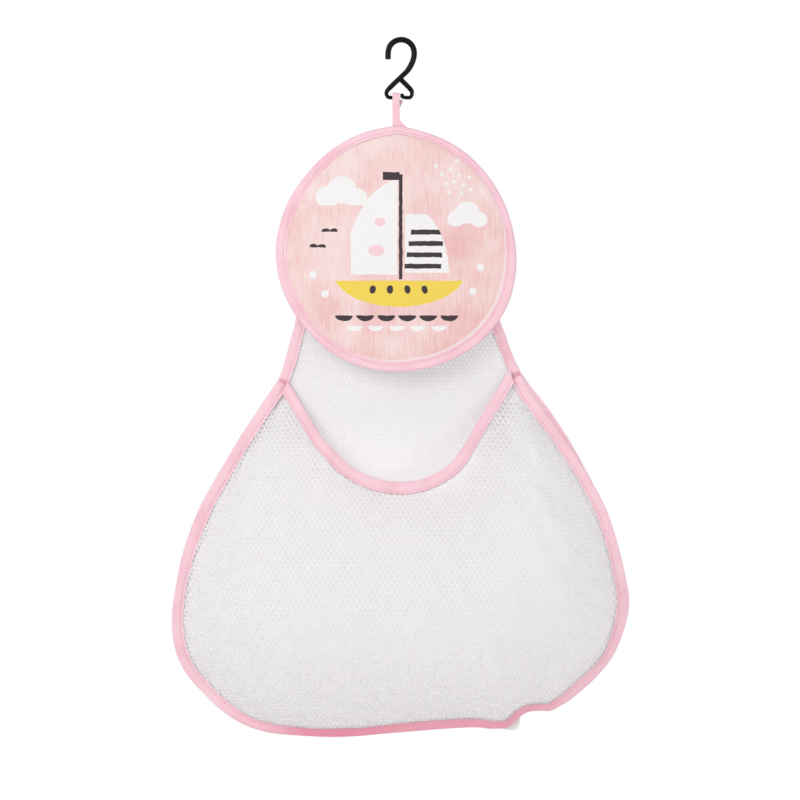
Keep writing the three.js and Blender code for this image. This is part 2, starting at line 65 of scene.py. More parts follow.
def to_linear(code):
    """An sRGB colour such as #F2F0EF as linear red, green, blue and an alpha of 1."""
    value = np.array([int(code[i : i + 2], 16) for i in (1, 3, 5)]) / 255
    low = value <= 0.04045
    return (*np.where(low, value / 12.92, ((value + 0.055) / 1.055) ** 2.4), 1.0)


def add(tree, kind, inputs=(), **settings):
    """Adds a node with its settings. Its inputs are pairs of a name or place and either a value
    or the socket of another node that is linked to it."""
    node = tree.nodes.new("ShaderNode" + kind)
    for name, value in settings.items():
        setattr(node, name, value)
    for name, value in inputs:
        if isinstance(value, bpy.types.NodeSocket):
            tree.links.new(value, node.inputs[name])
        else:
            node.inputs[name].default_value = value
    return node


def new_material(name):
    """An empty material and its node tree."""
    material = bpy.data.materials.new(name)
    material.use_nodes = True
    material.node_tree.nodes.clear()
    return material, material.node_tree


def grid_faces(rows, columns, closed_rows=False, closed_columns=False):
    """Four-sided faces between the points of a grid that are kept row by row."""
    i = np.arange(rows if closed_rows else rows - 1)[:, None]
    j = np.arange(columns if closed_columns else columns - 1)[None, :]
    k, l = (i + 1) % rows, (j + 1) % columns
    corners = (i * columns + j, k * columns + j, k * columns + l, i * columns + l)
    return np.stack(np.broadcast_arrays(*corners), -1).reshape(-1, 4)


def solid(name, points, *faces, smooth_below=50, way=None):
    """An object from points in millimetres and arrays of faces with one row of point numbers
    each. The faces are turned so that the volume they enclose is positive, or so that they
    face the way given where the surface is open."""
    points = np.asarray(points, float).reshape(-1, 3)
    inside, summed = 0.0, np.zeros(3)
    for block in faces:
        a = points[block[:, 0]]
        for k in range(1, block.shape[1] - 1):
            b, c = points[block[:, k]], points[block[:, k + 1]]
            inside += np.einsum("ij,ij->", a, np.cross(b, c))
            summed += np.cross(b - a, c - a).sum(0)
    turned = inside < 0 if way is None else summed @ np.array(way) < 0
    blocks = [block[:, ::-1] if turned else block for block in faces]
    sizes = np.concatenate([np.full(len(block), block.shape[1]) for block in blocks])
    corners = np.concatenate([block.ravel() for block in blocks])
    mesh = bpy.data.meshes.new(name)
    mesh.vertices.add(len(points))
    mesh.vertices.foreach_set("co", (points / 1000).astype(np.float32).ravel())
    mesh.loops.add(len(corners))
    mesh.loops.foreach_set("vertex_index", corners.astype(np.int32))
    mesh.polygons.add(len(sizes))
    mesh.polygons.foreach_set("loop_start", (np.cumsum(sizes) - sizes).astype(np.int32))
    mesh.update(calc_edges=True)
    mesh.shade_smooth()
    mesh.set_sharp_from_angle(angle=math.radians(smooth_below))
    thing = bpy.data.objects.new(name, mesh)
    bpy.context.scene.collection.objects.link(thing)
    return thing


def seen_directly(tree):
    """1 for rays that come from the camera, straight or by way of gloss or glass, and 0 for the
    light that falls on the bag: the three kinds of ray added up and held to 1."""
    ray = add(tree, "LightPath")
    total = ray.outputs["Is Camera Ray"]
    for kind in ("Is Glossy Ray", "Is Transmission Ray"):
        total = add(tree, "Math", [(0, total), (1, ray.outputs[kind])], operation="ADD",
                    use_clamp=True).outputs[0]
    return total


turn = np.linspace(0, 2 * math.pi, FLOOR_SIDES, endpoint=False)[None, :]
across, deep = (np.array(FLOOR_RINGS)[:, None] * wave(turn) * FLOOR_RADIUS for wave in (np.sin, np.cos))
floor = solid("floor", np.stack([across, deep, 0 * deep + FLOOR_HEIGHT], -1),
              grid_faces(len(FLOOR_RINGS), FLOOR_SIDES, closed_columns=True), way=(0, 0, 1))
floor_board, tree = new_material("floor board")
here = add(tree, "TexCoord").outputs["Object"]
flat_place = add(tree, "VectorMath", [(0, here), (1, (1, 1, 0))], operation="MULTIPLY")
away = add(tree, "VectorMath", [(0, flat_place.outputs[0])], operation="LENGTH")
beyond = add(tree, "MapRange", [("Value", away.outputs["Value"]), ("From Min", FLOOR_KEPT[0]),
                                ("From Max", FLOOR_KEPT[1])], interpolation_type="SMOOTHSTEP")
white_share = add(tree, "Math", [(0, seen_directly(tree)), (1, beyond.outputs[0])],
                  operation="MULTIPLY")
board = add(tree, "BsdfDiffuse", [("Color", to_linear(BOARD_COLOUR))])
glow = add(tree, "Emission", [("Color", (1, 1, 1, 1)), ("Strength", 1.0)])
mixed = add(tree, "MixShader", [(0, white_share.outputs[0]), (1, board.outputs[0]),
                                (2, glow.outputs[0])])
add(tree, "OutputMaterial", [("Surface", mixed.outputs[0])])
floor.data.materials.append(floor_board)

# Studio light: a white room that the camera, gloss and glass see at full strength, and that
# lights the bag at less. A large soft lamp stands high on the left, one low on the right and one
# high behind.
ROOM_LIGHT = 0.50
LAMPS = (  # name, place and aim in metres, size in metres, watts
    ("key_lamp", (-1.1, -1.5, 0.45), (0, 0, -0.35), 1.3, 17.8),
    ("fill_lamp", (1.4, -1.4, -0.75), (0, 0, -0.45), 1.5, 15.5),
    ("rear_lamp", (0.5, 1.6, 0.5), (0, 0, -0.3), 1.3, 14.0),
)

world = bpy.data.worlds.new("studio")
bpy.context.scene.world = world
world.use_nodes = True
tree = world.node_tree
tree.nodes.clear()
dim = add(tree, "Background", [("Color", (1, 1, 1, 1)), ("Strength", ROOM_LIGHT)])
full = add(tree, "Background", [("Color", (1, 1, 1, 1)), ("Strength", 1.0)])
mixed = add(tree, "MixShader", [(0, seen_directly(tree)), (1, dim.outputs[0]), (2, full.outputs[0])])
add(tree, "OutputWorld", [("Surface", mixed.outputs[0])])

for name, place, aim, size, watts in LAMPS:
    lamp = bpy.data.objects.new(name, bpy.data.lights.new(name, "AREA"))
    lamp.data.size = size
    lamp.data.energy = watts
    lamp.location = place
    toward = np.array(aim) - np.array(place)
    raised = math.acos(-toward[2] / np.linalg.norm(toward))
    lamp.rotation_euler = (raised, 0, math.atan2(toward[0], -toward[1]) + math.pi)
    bpy.context.scene.collection.objects.link(lamp)

# Hook: one moulding of glossy black plastic. A long round bar makes the crook, the left arm and
# its lip; a short one leaves it at the fork and ends in a lip that turns up by the ribbon.
CROOK_RADIUS = 8.5  # inside the crook
BAR_WIDTH = 4.9
LIP_WIDTH = 3.2
ARM_THINNING = 0.6  # how much thinner the arms are than the bar above the fork
LIP_DROP = 46.2  # from the origin down to the middle of the lips
FORK_DROP = 28.8
ARM_SPREAD = 12.4  # from the middle line out to the left arm
RIGHT_ARM_SHARE = 0.73
FORK_SIDE = -1.24  # where the short bar starts, left of the middle line
CORNER_HEIGHT = 7
TIP_RISE = 3.4
LIP_GAP = 0.9  # between the ends of the two lips
CROOK_TIP_DROP = 5.6  # how far the crook runs down to its tip
LONG_RINGS, SHORT_RINGS = 160, 70
RIBBON_SIDE = -4.3
RIBBON_WIDTH = 6
LAYER_GAP = 0.3  # between pieces that lie against each other
END_ROUND = 1.0  # how far an end of a bar is rounded off
# Shares across and down of the back between the crook and the fork, and of a corner's spread and
# height.
BACK_SHARES = ((0.94, 0.26), (0.75, 0.52), (0.45, 0.765))
CORNER_SHARES = ((0.86, 1), (1, 0.51), (0.93, 0.15), (0.76, 0))
# Where the long bar thins to the arm, and where each bar tapers to its lip, as shares of its run.
LONG_THINNING, LONG_TAPER, SHORT_TAPER = (0.5, 0.66), (0.78, 0.9), (0.4, 0.62)
VOXEL = 0.00024  # metres: the grain at which the two bars are melted into one body


def curve_through(places):
    """A smooth curve through places given across and down. Between two of them it is the cubic
    whose slope at each end is half the step between that end's neighbours. Gives a function of
    the share of the length, its whole length, and the shares at its own places."""
    given = np.array(places, float)
    spans = len(given) - 1
    held = np.vstack([2 * given[0] - given[1], given, 2 * given[-1] - given[-2]])

    def at(t, slope=False):
        k = np.clip(np.floor(t).astype(int), 0, spans - 1)
        w = (t - k)[:, None]
        a, b, c, d = (held[k + n] for n in range(4))
        first, last = (c - a) / 2, (d - b) / 2
        if slope:
            return ((6 * w**2 - 6 * w) * (b - c) + (3 * w**2 - 4 * w + 1) * first
                    + (3 * w**2 - 2 * w) * last)
        return ((2 * w**3 - 3 * w**2 + 1) * b + (w**3 - 2 * w**2 + w) * first
                + (3 * w**2 - 2 * w**3) * c + (w**3 - w**2) * last)

    steps = 24
    fine = np.linspace(0, spans, spans * steps + 1)
    pieces = np.linalg.norm(np.diff(at(fine), axis=0), axis=1)
    runs = np.concatenate([[0], np.cumsum(pieces)])

    def follow(shares):
        t = np.interp(np.asarray(shares) * runs[-1], runs, fine)
        way = at(t, slope=True)
        return at(t), way / np.linalg.norm(way, axis=1, keepdims=True)

    return follow, runs[-1], runs[::steps] / runs[-1]


def in_space(flat):
    """Points or ways given across and down as points or ways in space, with no depth."""
    return np.stack([flat[..., 0], 0 * flat[..., 0], flat[..., 1]], -1)


def round_bar(places, width_at, count, sides=28):
    """A round bar along a smooth curve: each ring is the curve's point plus half the width times
    the cosine and sine of the angle round the bar, and the last rings at each end draw in on a
    quarter circle. Gives its points and faces."""
    follow, length, _ = curve_through(places)
    quarter = np.linspace(0, math.pi / 2, 7)
    run_in = END_ROUND * (1 - np.cos(quarter)) / length
    shares = np.concatenate([[0], run_in, np.linspace(run_in[-1], 1 - run_in[-1], count)[1:-1],
                             1 - run_in[::-1], [1]])
    drawn = END_ROUND * (1 - np.sin(quarter))
    draw = np.concatenate([drawn[:1], drawn, np.zeros(count - 2), drawn[::-1], drawn[:1]])
    half = width_at(shares) / 2 - draw
    half[[0, -1]] = 0.01  # almost a point, which closes the end
    points, ways = follow(shares)
    out = np.stack([-ways[:, 1], ways[:, 0]], -1)
    angle = np.linspace(0, 2 * math.pi, sides, endpoint=False)
    ring = (in_space(points)[:, None]
            + in_space(out)[:, None] * (half[:, None] * np.cos(angle))[..., None]
            + np.array([0, 1, 0]) * (half[:, None] * np.sin(angle))[..., None])
    return ring.reshape(-1, 3), grid_faces(len(shares), sides, closed_columns=True)


def eased(share, start, end):
    """0 before the start and 1 after the end, with a smooth change between."""
    t = np.clip((share - start) / (end - start), 0, 1)
    return t * t * (3 - 2 * t)


middle = CROOK_RADIUS + BAR_WIDTH / 2
turns = np.radians(np.arange(180, -1, -30))
crook = [(-middle, -CROOK_RADIUS - CROOK_TIP_DROP)] + [
    (middle * math.cos(a), middle * math.sin(a) - CROOK_RADIUS) for a in turns]
back_of_hook = [(middle * a, -CROOK_RADIUS - (FORK_DROP - CROOK_RADIUS) * d)
                for a, d in BACK_SHARES]
left_corner, right_corner = (
    [(spread * a, -LIP_DROP + CORNER_HEIGHT * r) for a, r in CORNER_SHARES]
    for spread in (-ARM_SPREAD, ARM_SPREAD * RIGHT_ARM_SHARE))
left_end = RIBBON_SIDE + RIBBON_WIDTH / 2 - LAYER_GAP
tip = left_end + LIP_GAP + LIP_WIDTH / 2
long_bar = [*crook, *back_of_hook, (0, -FORK_DROP), *left_corner, (left_end, -LIP_DROP)]
short_bar = [(FORK_SIDE, -FORK_DROP + FORK_SIDE), *right_corner,
             ((tip + right_corner[-1][0]) / 2, -LIP_DROP), (tip, -LIP_DROP + LIP_WIDTH / 4),
             (tip, -LIP_DROP + TIP_RISE)]
long_points, long_faces = round_bar(
    long_bar, lambda s: BAR_WIDTH - ARM_THINNING * eased(s, *LONG_THINNING)
    - (BAR_WIDTH - LIP_WIDTH - ARM_THINNING) * eased(s, *LONG_TAPER), LONG_RINGS)
short_points, short_faces = round_bar(
    short_bar, lambda s: BAR_WIDTH - ARM_THINNING
    - (BAR_WIDTH - LIP_WIDTH - ARM_THINNING) * eased(s, *SHORT_TAPER), SHORT_RINGS)
hook = solid("hook_moulding", np.vstack([long_points, short_points]),
             np.vstack([long_faces, short_faces + len(long_points)]))
melt = hook.modifiers.new("one body", "REMESH")
melt.mode = "VOXEL"
melt.voxel_size = VOXEL
melt.use_smooth_shade = True
ease = hook.modifiers.new("fillet", "SMOOTH")
ease.iterations = 5
graph = bpy.context.evaluated_depsgraph_get()
one_body = bpy.data.meshes.new_from_object(hook.evaluated_get(graph))
hook.modifiers.clear()
hook.data = one_body

# Black ABS from a polished mould: near black, a soft gloss, faint waves about 4 mm long and the
# parting line of the mould all round its middle, 0.4 mm wide.
PARTING_LINE = (0.00005, 0.00022)  # metres from the middle: all of it within, none beyond

black_plastic, tree = new_material("black moulded ABS")
here = add(tree, "TexCoord").outputs["Object"]
wavy = add(tree, "TexNoise", [("Vector", here), ("Scale", 1000 / 3.85), ("Detail", 3.0)])
depth = add(tree, "SeparateXYZ", [(0, here)]).outputs["Y"]
off_line = add(tree, "Math", [(0, depth)], operation="ABSOLUTE")
line = add(tree, "MapRange", [
    ("Value", off_line.outputs[0]), ("From Min", PARTING_LINE[0]), ("From Max", PARTING_LINE[1]),
    ("To Min", 1.0), ("To Max", 0.0)])
relief = add(tree, "Math", [(0, wavy.outputs["Fac"]), (1, line.outputs[0])], operation="ADD")
bump = add(tree, "Bump", [("Height", relief.outputs[0]), ("Strength", 0.35), ("Distance", 0.00008)])
shade = add(tree, "BsdfPrincipled", [
    ("Base Color", to_linear("#0A0C10")), ("Roughness", 0.30), ("IOR", 1.53),
    ("Specular IOR Level", 0.10), ("Normal", bump.outputs[0])])
add(tree, "OutputMaterial", [("Surface", shade.outputs[0])])


def fit(thing, material, body, slot, *nodes):
    """Gives a piece its material and its place on a body of the part, and hides the CAD nodes that
    it stands for."""
    thing.data.materials.clear()
    thing.data.materials.append(material)
    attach(thing, body)
    if nodes:
        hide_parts(*nodes)


fit(hook, black_plastic, "hook", "hook_plastic", "hook")

# Ribbon loop: 6 mm polyester ribbon over the hook's left lip. Both legs hang together and are
# sewn behind the head, where the ribbon spreads a little.
RIBBON_THICKNESS = 0.7
RIBBON_ROOT = -70.8
RIBBON_TAIL = 7
BIGHT, BIGHT_RISE = 2.1, 3.7  # half the width of the bend over the lip, and its height
LEG_PLACES = ((0.55, RIBBON_ROOT - RIBBON_TAIL), (0.55, RIBBON_ROOT), (0.62, -65.0),
              (1.05, -58.5), (1.75, -51.8))  # the rear leg, back and up from its sewn end
# How much wider it is at its root, as a share of its width; how far the rear leg slips to the
# right just below the lip; how far its right edge fans out at the root; and how far the legs
# twist. With each come the drops below the origin over which it starts or ends.
ROOT_SPREAD, SPREAD_DROP = 0.42, 60
REAR_SLIP, SLIP_START, SLIP_END = 2.9, (47.2, 48.6), (48.5, 55.5)
ROOT_FLARE, FLARE_START = 4.0, (63.0, 71.5)
LEG_TWIST, TWIST_START, TWIST_WAVE = 0.45, (49, 56), 5.3
CUP = 0.10  # how far the middle of its width stands out from its edges

turns = np.radians(np.linspace(0, 180, 17))
bend = [(BIGHT * math.cos(a), BIGHT_RISE * math.sin(a) - LIP_DROP) for a in turns]
front_leg = [(-y, z) for y, z in LEG_PLACES[::-1]]
follow, ribbon_length, _ = curve_through([*LEG_PLACES, *bend, *front_leg])
run = np.linspace(0, 1, 220)
line_points, line_ways = follow(run)
back, up = line_points[:, :1], line_points[:, 1:]
sideways = np.linspace(-1, 1, 13)[None, :]
spread = 1 + ROOT_SPREAD * eased(-up, SPREAD_DROP, RIBBON_TAIL - RIBBON_ROOT)
rear_leg = (run < 0.5)[:, None]
slip = REAR_SLIP * eased(-up, *SLIP_START) * (1 - eased(-up, *SLIP_END)) * rear_leg
flare = ROOT_FLARE * eased(-up, *FLARE_START) ** 2 * np.clip(sideways, 0, 1) ** 2
leans = LEG_TWIST * np.sin(up / TWIST_WAVE + 0.6) * eased(-up, *TWIST_START)
side_place = (RIBBON_SIDE + sideways * RIBBON_WIDTH / 2 * spread + slip
              + 0.5 * (spread - 1) * RIBBON_WIDTH + flare)
cupped = CUP * (1 - sideways**2) + leans * sideways * 0.5
half = RIBBON_THICKNESS / 2 * (1 - 0.55 * sideways**8)  # thinner at the very edges
outer, inner = (np.stack([side_place + 0 * rise, back + line_ways[:, 1:] * rise,
                          up - line_ways[:, :1] * rise], -1)
                for rise in (cupped + half, cupped - half))
ribbon_rings = np.concatenate([outer, inner[:, ::-1]], 1)
columns = ribbon_rings.shape[1]


def capped_faces(rings, sides):
    """The faces of a tube of rings, and one face over each of its ends."""
    end = np.arange(sides)[None, :]
    return grid_faces(rings, sides, closed_columns=True), end[:, ::-1], end + (rings - 1) * sides


ribbon = solid("ribbon_loop", ribbon_rings, *capped_faces(len(run), columns), smooth_below=60)


def pattern_map(thing, values):
    """Keeps two numbers for each point of a piece as its UV map: the run along the cloth and the
    place across it, in centimetres."""
    corners = np.zeros(len(thing.data.loops), np.int32)
    thing.data.loops.foreach_get("vertex_index", corners)
    places = np.asarray(values).reshape(-1, 2)[corners] / 10
    layer = thing.data.uv_layers.new(name="cloth")
    layer.data.foreach_set("uv", places.astype(np.float32).ravel())


pattern_map(ribbon, np.stack(np.broadcast_arrays(
    run[:, None] * ribbon_length, np.linspace(0, 2 * RIBBON_WIDTH, columns)[None, :]), -1))

# Pink polyester tape: plain woven, with fine ribs half a millimetre apart, a faint satin sheen,
# and dye in soft blotches of about 24 mm. Along the bottom of the pocket's tape, where it turns
# under, painted shade makes it a deeper pink.
WAVE_SPACING = 2 * math.pi / 20  # between the bands of a wave texture whose scale is 1

pink_tape, tree = new_material("pink woven polyester tape")
run_across = add(tree, "UVMap", uv_map="cloth").outputs[0]
here = add(tree, "TexCoord").outputs["Object"]
ribs = add(tree, "TexWave", [("Vector", run_across), ("Scale", 10 * WAVE_SPACING / 0.4935),
                             ("Distortion", 0.6), ("Detail", 1.0)], bands_direction="X")
blotch = add(tree, "TexNoise", [("Vector", here), ("Scale", 1000 / 23.8), ("Detail", 4.0)])
fibre = add(tree, "TexNoise", [("Vector", here), ("Scale", 1000 / 0.4545), ("Detail", 2.0)])
uneven = add(tree, "Math", [(0, blotch.outputs["Fac"]), (1, 2.0), (2, -0.5)],
             operation="MULTIPLY_ADD")
tint = add(tree, "Mix", [(0, uneven.outputs[0]), (6, to_linear("#F3C0CE")),
                         (7, to_linear("#FBD6E0"))], data_type="RGBA")
# Painted shade: where a piece carries the painted bottom shade, its pink is mixed towards a deeper one.
bottom_shade_share = add(tree, "Attribute", attribute_name="painted bottom shade").outputs["Fac"]
tint = add(tree, "Mix", [(0, bottom_shade_share), (6, tint.outputs[2]), (7, to_linear("#F493AC"))],
           data_type="RGBA")
relief = add(tree, "Math", [(0, ribs.outputs["Fac"]), (1, fibre.outputs["Fac"])], operation="ADD")
bump = add(tree, "Bump", [("Height", relief.outputs[0]), ("Strength", 0.30), ("Distance", 0.00010)])
shade = add(tree, "BsdfPrincipled", [
    ("Base Color", tint.outputs[2]), ("Roughness", 0.62), ("Specular IOR Level", 0.35),
    ("Sheen Weight", 0.12), ("Sheen Roughness", 0.45), ("Normal", bump.outputs[0])])
add(tree, "OutputMaterial", [("Surface", shade.outputs[0])])
fit(ribbon, pink_tape, "head", "pink_tape", "hanging_loop")

# Padded head: a thin foam sheet between a printed front cloth and a plain backing, which the
# tape round the edge holds together. The foam fills the cloth out inside the tape.
HEAD_RADIUS = 102
HEAD_SIDE = -3.8
HEAD_DROP = 102.6  # from the ribbon's root to the middle of the head
HEAD_HEIGHT = RIBBON_ROOT - HEAD_DROP
# How far the head is from a true circle, in shares of its radius: the waves round it with the
# cosine's and the sine's share of each, and the small peak that the ribbon draws up.
HEAD_WAVES = ((0, -0.008, 0), (1, -0.0234, 0.0027), (2, 0.009, -0.0073), (3, 0.0129, 0.0041),
              (4, 0.0033, 0.0026), (5, 0, -0.0041))
HEAD_PEAK = (0.015, 0.10)  # its rise, and its half width as an angle
HEAD_TAPE_WIDTHS = (  # degrees from the top, clockwise, and the width that shows
    (0, 7.2), (18, 6.4), (78, 6.5), (95, 9.0), (125, 9.4), (150, 8.7), (185, 8.5), (215, 7.8),
    (240, 8.6), (290, 8.7), (320, 8.5), (338, 7.2), (360, 7.2))
WIDTH_WAVES = 0.35  # how far a tape's width wanders
EDGE_INSET = 0.9  # how far inside the tape's fold the cloths end
CENTRE_INSET = 99.02  # where the rings of the cloths would close
PRINT_FRONT = -5.25
FOAM_REAR = -2.95
BACKING_REAR = -2.15
CLOTH_THICKNESS = 0.4
HEAD_SIDES = 480
# How far the front cloth stands forward: its rise inside the tape, its crown in the middle, and
# the puckers, the crease and the slow slackness on them.
HEAD_RISE, HEAD_CROWN = 0.95, 1.15
HEAD_PUCKER, HEAD_CREASE, HEAD_SLACK = 0.16, 0.20, 0.22


def head_reach(angle):
    """The head's outline from its middle, with the angle from the top: a circle with shallow
    waves and a bell-shaped peak at the top."""
    waves = sum(c * np.cos(n * angle) + s * np.sin(n * angle) for n, c, s in HEAD_WAVES)
    rise, half = HEAD_PEAK
    from_top = (angle + math.pi) % (2 * math.pi) - math.pi
    return HEAD_RADIUS * (1 + waves + rise * np.exp(-((from_top / half) ** 2)))


def ripple(run, whole, waves, seed):
    """Uneven waves along a run of a given whole length: sines with whole numbers of waves up to
    the number given, of seeded phases, whose sum stays within about 1."""
    draw = np.random.default_rng(seed)
    counts = np.unique(np.linspace(waves / 3, waves, 7).astype(int))
    phases = draw.uniform(0, 2 * math.pi, len(counts))
    return sum(np.sin(2 * math.pi * n * run / whole + p) for n, p in zip(counts, phases)) / (
        0.62 * len(counts))


def head_tape_width(angle):
    """The width of the head's tape by the angle from the top, with small waves."""
    shown = np.interp(np.degrees(angle), *np.transpose(HEAD_TAPE_WIDTHS))
    return shown + WIDTH_WAVES * ripple(angle, 2 * math.pi, 11, 31)


def head_swell(inset, angle):
    """How far the front cloth stands forward, by its distance from the edge: flat under the
    tape, a quick rise with small puckers and a crease just inside it, then a low crown."""
    rise = HEAD_RISE * eased(inset, 5.2, 11.5) + HEAD_CROWN * eased(inset, 9, 105)
    pucker = HEAD_PUCKER * ripple(angle, 2 * math.pi, 64, 5) * np.exp(-(((inset - 10) / 3.6) ** 2))
    from_crease = inset - 12.2 - 0.5 * ripple(angle, 2 * math.pi, 9, 7)
    crease = HEAD_CREASE * np.exp(-((from_crease / 0.7) ** 2))
    slack = (HEAD_SLACK * ripple(angle, 2 * math.pi, 5, 11) * eased(inset, 12, 45)
             * (1 - eased(inset, 60, 100)))
    return rise + pucker - crease + slack


def head_rings(insets, angle):
    """Rings inside the head's edge: the outline shrunk in proportion to how far in each lies.
    Gives their distance from the edge and their places across and up."""
    inset = EDGE_INSET + insets[:, None] + 0 * angle
    reach = (head_reach(angle) - EDGE_INSET) * (1 - insets[:, None] / CENTRE_INSET)
    return inset, HEAD_SIDE + reach * np.sin(angle), HEAD_HEIGHT + reach * np.cos(angle)


angle = np.linspace(0, 2 * math.pi, HEAD_SIDES, endpoint=False)[None, :]
ring_insets = np.concatenate([np.linspace(0, 16, 33), np.linspace(17, 99, 26)])
inset, cloth_x, cloth_z = head_rings(ring_insets, angle)
print_y = PRINT_FRONT - head_swell(inset, angle)
centre_ring = (len(ring_insets) - 1) * HEAD_SIDES + np.arange(HEAD_SIDES)[None, :]
cloth_faces = grid_faces(len(ring_insets), HEAD_SIDES, closed_columns=True)
head_print = solid("printed_cloth", np.stack([cloth_x, print_y, cloth_z], -1), cloth_faces,
                   centre_ring, way=(0, -1, 0))


def thickened(thing, thickness):
    """Gives a cloth its thickness, behind the face that was made."""
    cloth = thing.modifiers.new("cloth", "SOLIDIFY")
    cloth.thickness = thickness / 1000
    cloth.offset = -1


thickened(head_print, CLOTH_THICKNESS)

# Printed polyester: a smooth fine cloth whose dye is brushed on in faint upright rose streaks,
# 1.8 mm apart and ten times as long, stronger low down on the right, with a simple sailing
# picture of plain shapes. Low down and on the right a paler rim shows inside the tape.
INK_WHITE, INK_YELLOW, INK_BLACK, INK_BLUSH = "#F1EFEF", "#EFD256", "#3A3034", "#F3CFD6"
# Each shape is the part of an ellipse that lies inside a box, in millimetres from the middle of
# the head: colour, the ellipse's middle, half sizes and turn, the box's middle and half sizes.
WIDE = (0, 0, 500, 500)  # a box wider than the head, which cuts nothing off
ANY_DEPTH = 1e9  # a size so great that depth plays no part
PALE_RIM = (0.10, 0.17)  # centimetres in from the tape: all pale within, none beyond
SHAPES = [
    *[(INK_WHITE, x, z, r, r * 0.92, 0, 0, 51.5, 200, 15.5) for x, z, r in
      ((-58, 43, 10), (-46, 49, 12.5), (-34, 42, 9.5))],
    *[(INK_WHITE, x, z, r, r * 0.9, 0, 0, 30.5, 200, 12.5) for x, z, r in
      ((50, 25, 7.5), (59, 30, 10.5), (69, 24, 7.0))],
    (INK_WHITE, 6, -26, 50, 84, 0, -19, 17.5, 19.5, 39.5),
    (INK_WHITE, 4, -22, 40, 60, 0, 25.5, 4, 18.5, 24.5),
    *[(INK_BLACK, 4, -22, 40, 60, 0, 22.0 + 1.2 * k, -15 + 9.5 * k, 15.5 - 0.6 * k, 2.0)
      for k in range(4)],
    (INK_BLUSH, -17, -2, 6.5, 4.6, 0, *WIDE),
    (INK_BLUSH, -14, 22, 4.6, 3.4, 0, *WIDE),
    (INK_BLACK, 3.2, 16, 60, 90, 0, 3.4, 18, 1.5, 44),
    (INK_BLACK, -2, 60.5, 20, 9, 0, -4.5, 60.5, 7.0, 3.4),
    (INK_YELLOW, 2, -20, 55, 29, 0, 2, -43, 60, 16),
    *[(INK_BLACK, -20 + 14.5 * k, -34.5, 2.6, 3.5, 8 - 6 * k, *WIDE) for k in range(4)],
    *[(INK_BLACK, -44 + 17.6 * k, -56.5, 7.4, 4.4, 0, 0, -59.3, 200, 3.2) for k in range(6)],
    *[(INK_WHITE, -35 + 17.6 * k, -65.5, 6.4, 3.8, 0, 0, -68, 200, 3.0) for k in range(5)],
    *[(INK_BLACK, x + s * 3.1, z, 3.7, 2.6, s * -14, 0, z + 2.0, 200, 2.2) for x, z in
      ((-56, 14), (-66, 1)) for s in (-1, 1)],
    *[(INK_WHITE, x, z, 1.5, 1.5, 0, *WIDE) for x, z in (
        (38, 62), (45, 66), (52, 61), (41, 54), (48, 56), (56, 53), (33, 69), (61, 59), (50, 73),
        (44, 47), (54, 46), (62, 49))],
    *[(INK_WHITE, x, z, 3.2, 3.2, 0, *WIDE) for x, z in (
        (-70, -22), (-60, -38), (70, -16), (64, -36))],
]

printed, tree = new_material("printed polyester cloth")
here = add(tree, "TexCoord").outputs["Object"]
head_place = add(tree, "Mapping", [
    ("Vector", here), ("Location", (-HEAD_SIDE, 0, -HEAD_HEIGHT)),
    ("Scale", (1000, 1000, 1000))]).outputs[0]  # millimetres from the middle of the head
rim_map = add(tree, "UVMap", uv_map="cloth").outputs[0]
rim_inset = add(tree, "SeparateXYZ", [(0, rim_map)]).outputs["Y"]
streak_place = add(tree, "Mapping", [("Vector", head_place), ("Scale", (0.55, 0, 0.055))]).outputs[0]
streaks = add(tree, "TexNoise", [("Vector", streak_place), ("Scale", 1.0), ("Detail", 9.0),
                                 ("Roughness", 0.74)])
patches = add(tree, "TexNoise", [("Vector", head_place), ("Scale", 1 / 33.3), ("Detail", 4.0)])
lift = add(tree, "Math", [(0, patches.outputs["Fac"]), (1, 0.80), (2, -0.365)],
           operation="MULTIPLY_ADD")
amount = add(tree, "Math", [(0, streaks.outputs["Fac"]), (1, lift.outputs[0])], operation="ADD")
lower = add(tree, "VectorMath", [(0, head_place), (1, (0.0007, 0, -0.0009))],
            operation="DOT_PRODUCT")
amount = add(tree, "Math", [(0, amount.outputs[0]), (1, lower.outputs["Value"])], operation="ADD")
brushed = add(tree, "ValToRGB", [(0, amount.outputs[0])])
ramp = brushed.color_ramp
ramp.elements[0].position, ramp.elements[0].color = 0.30, to_linear("#F4E0DD")
ramp.elements[1].position, ramp.elements[1].color = 0.82, to_linear("#E8B2B2")
for place, code in ((0.47, "#F1D6D3"), (0.62, "#EEC7C5")):
    ramp.elements.new(place).color = to_linear(code)

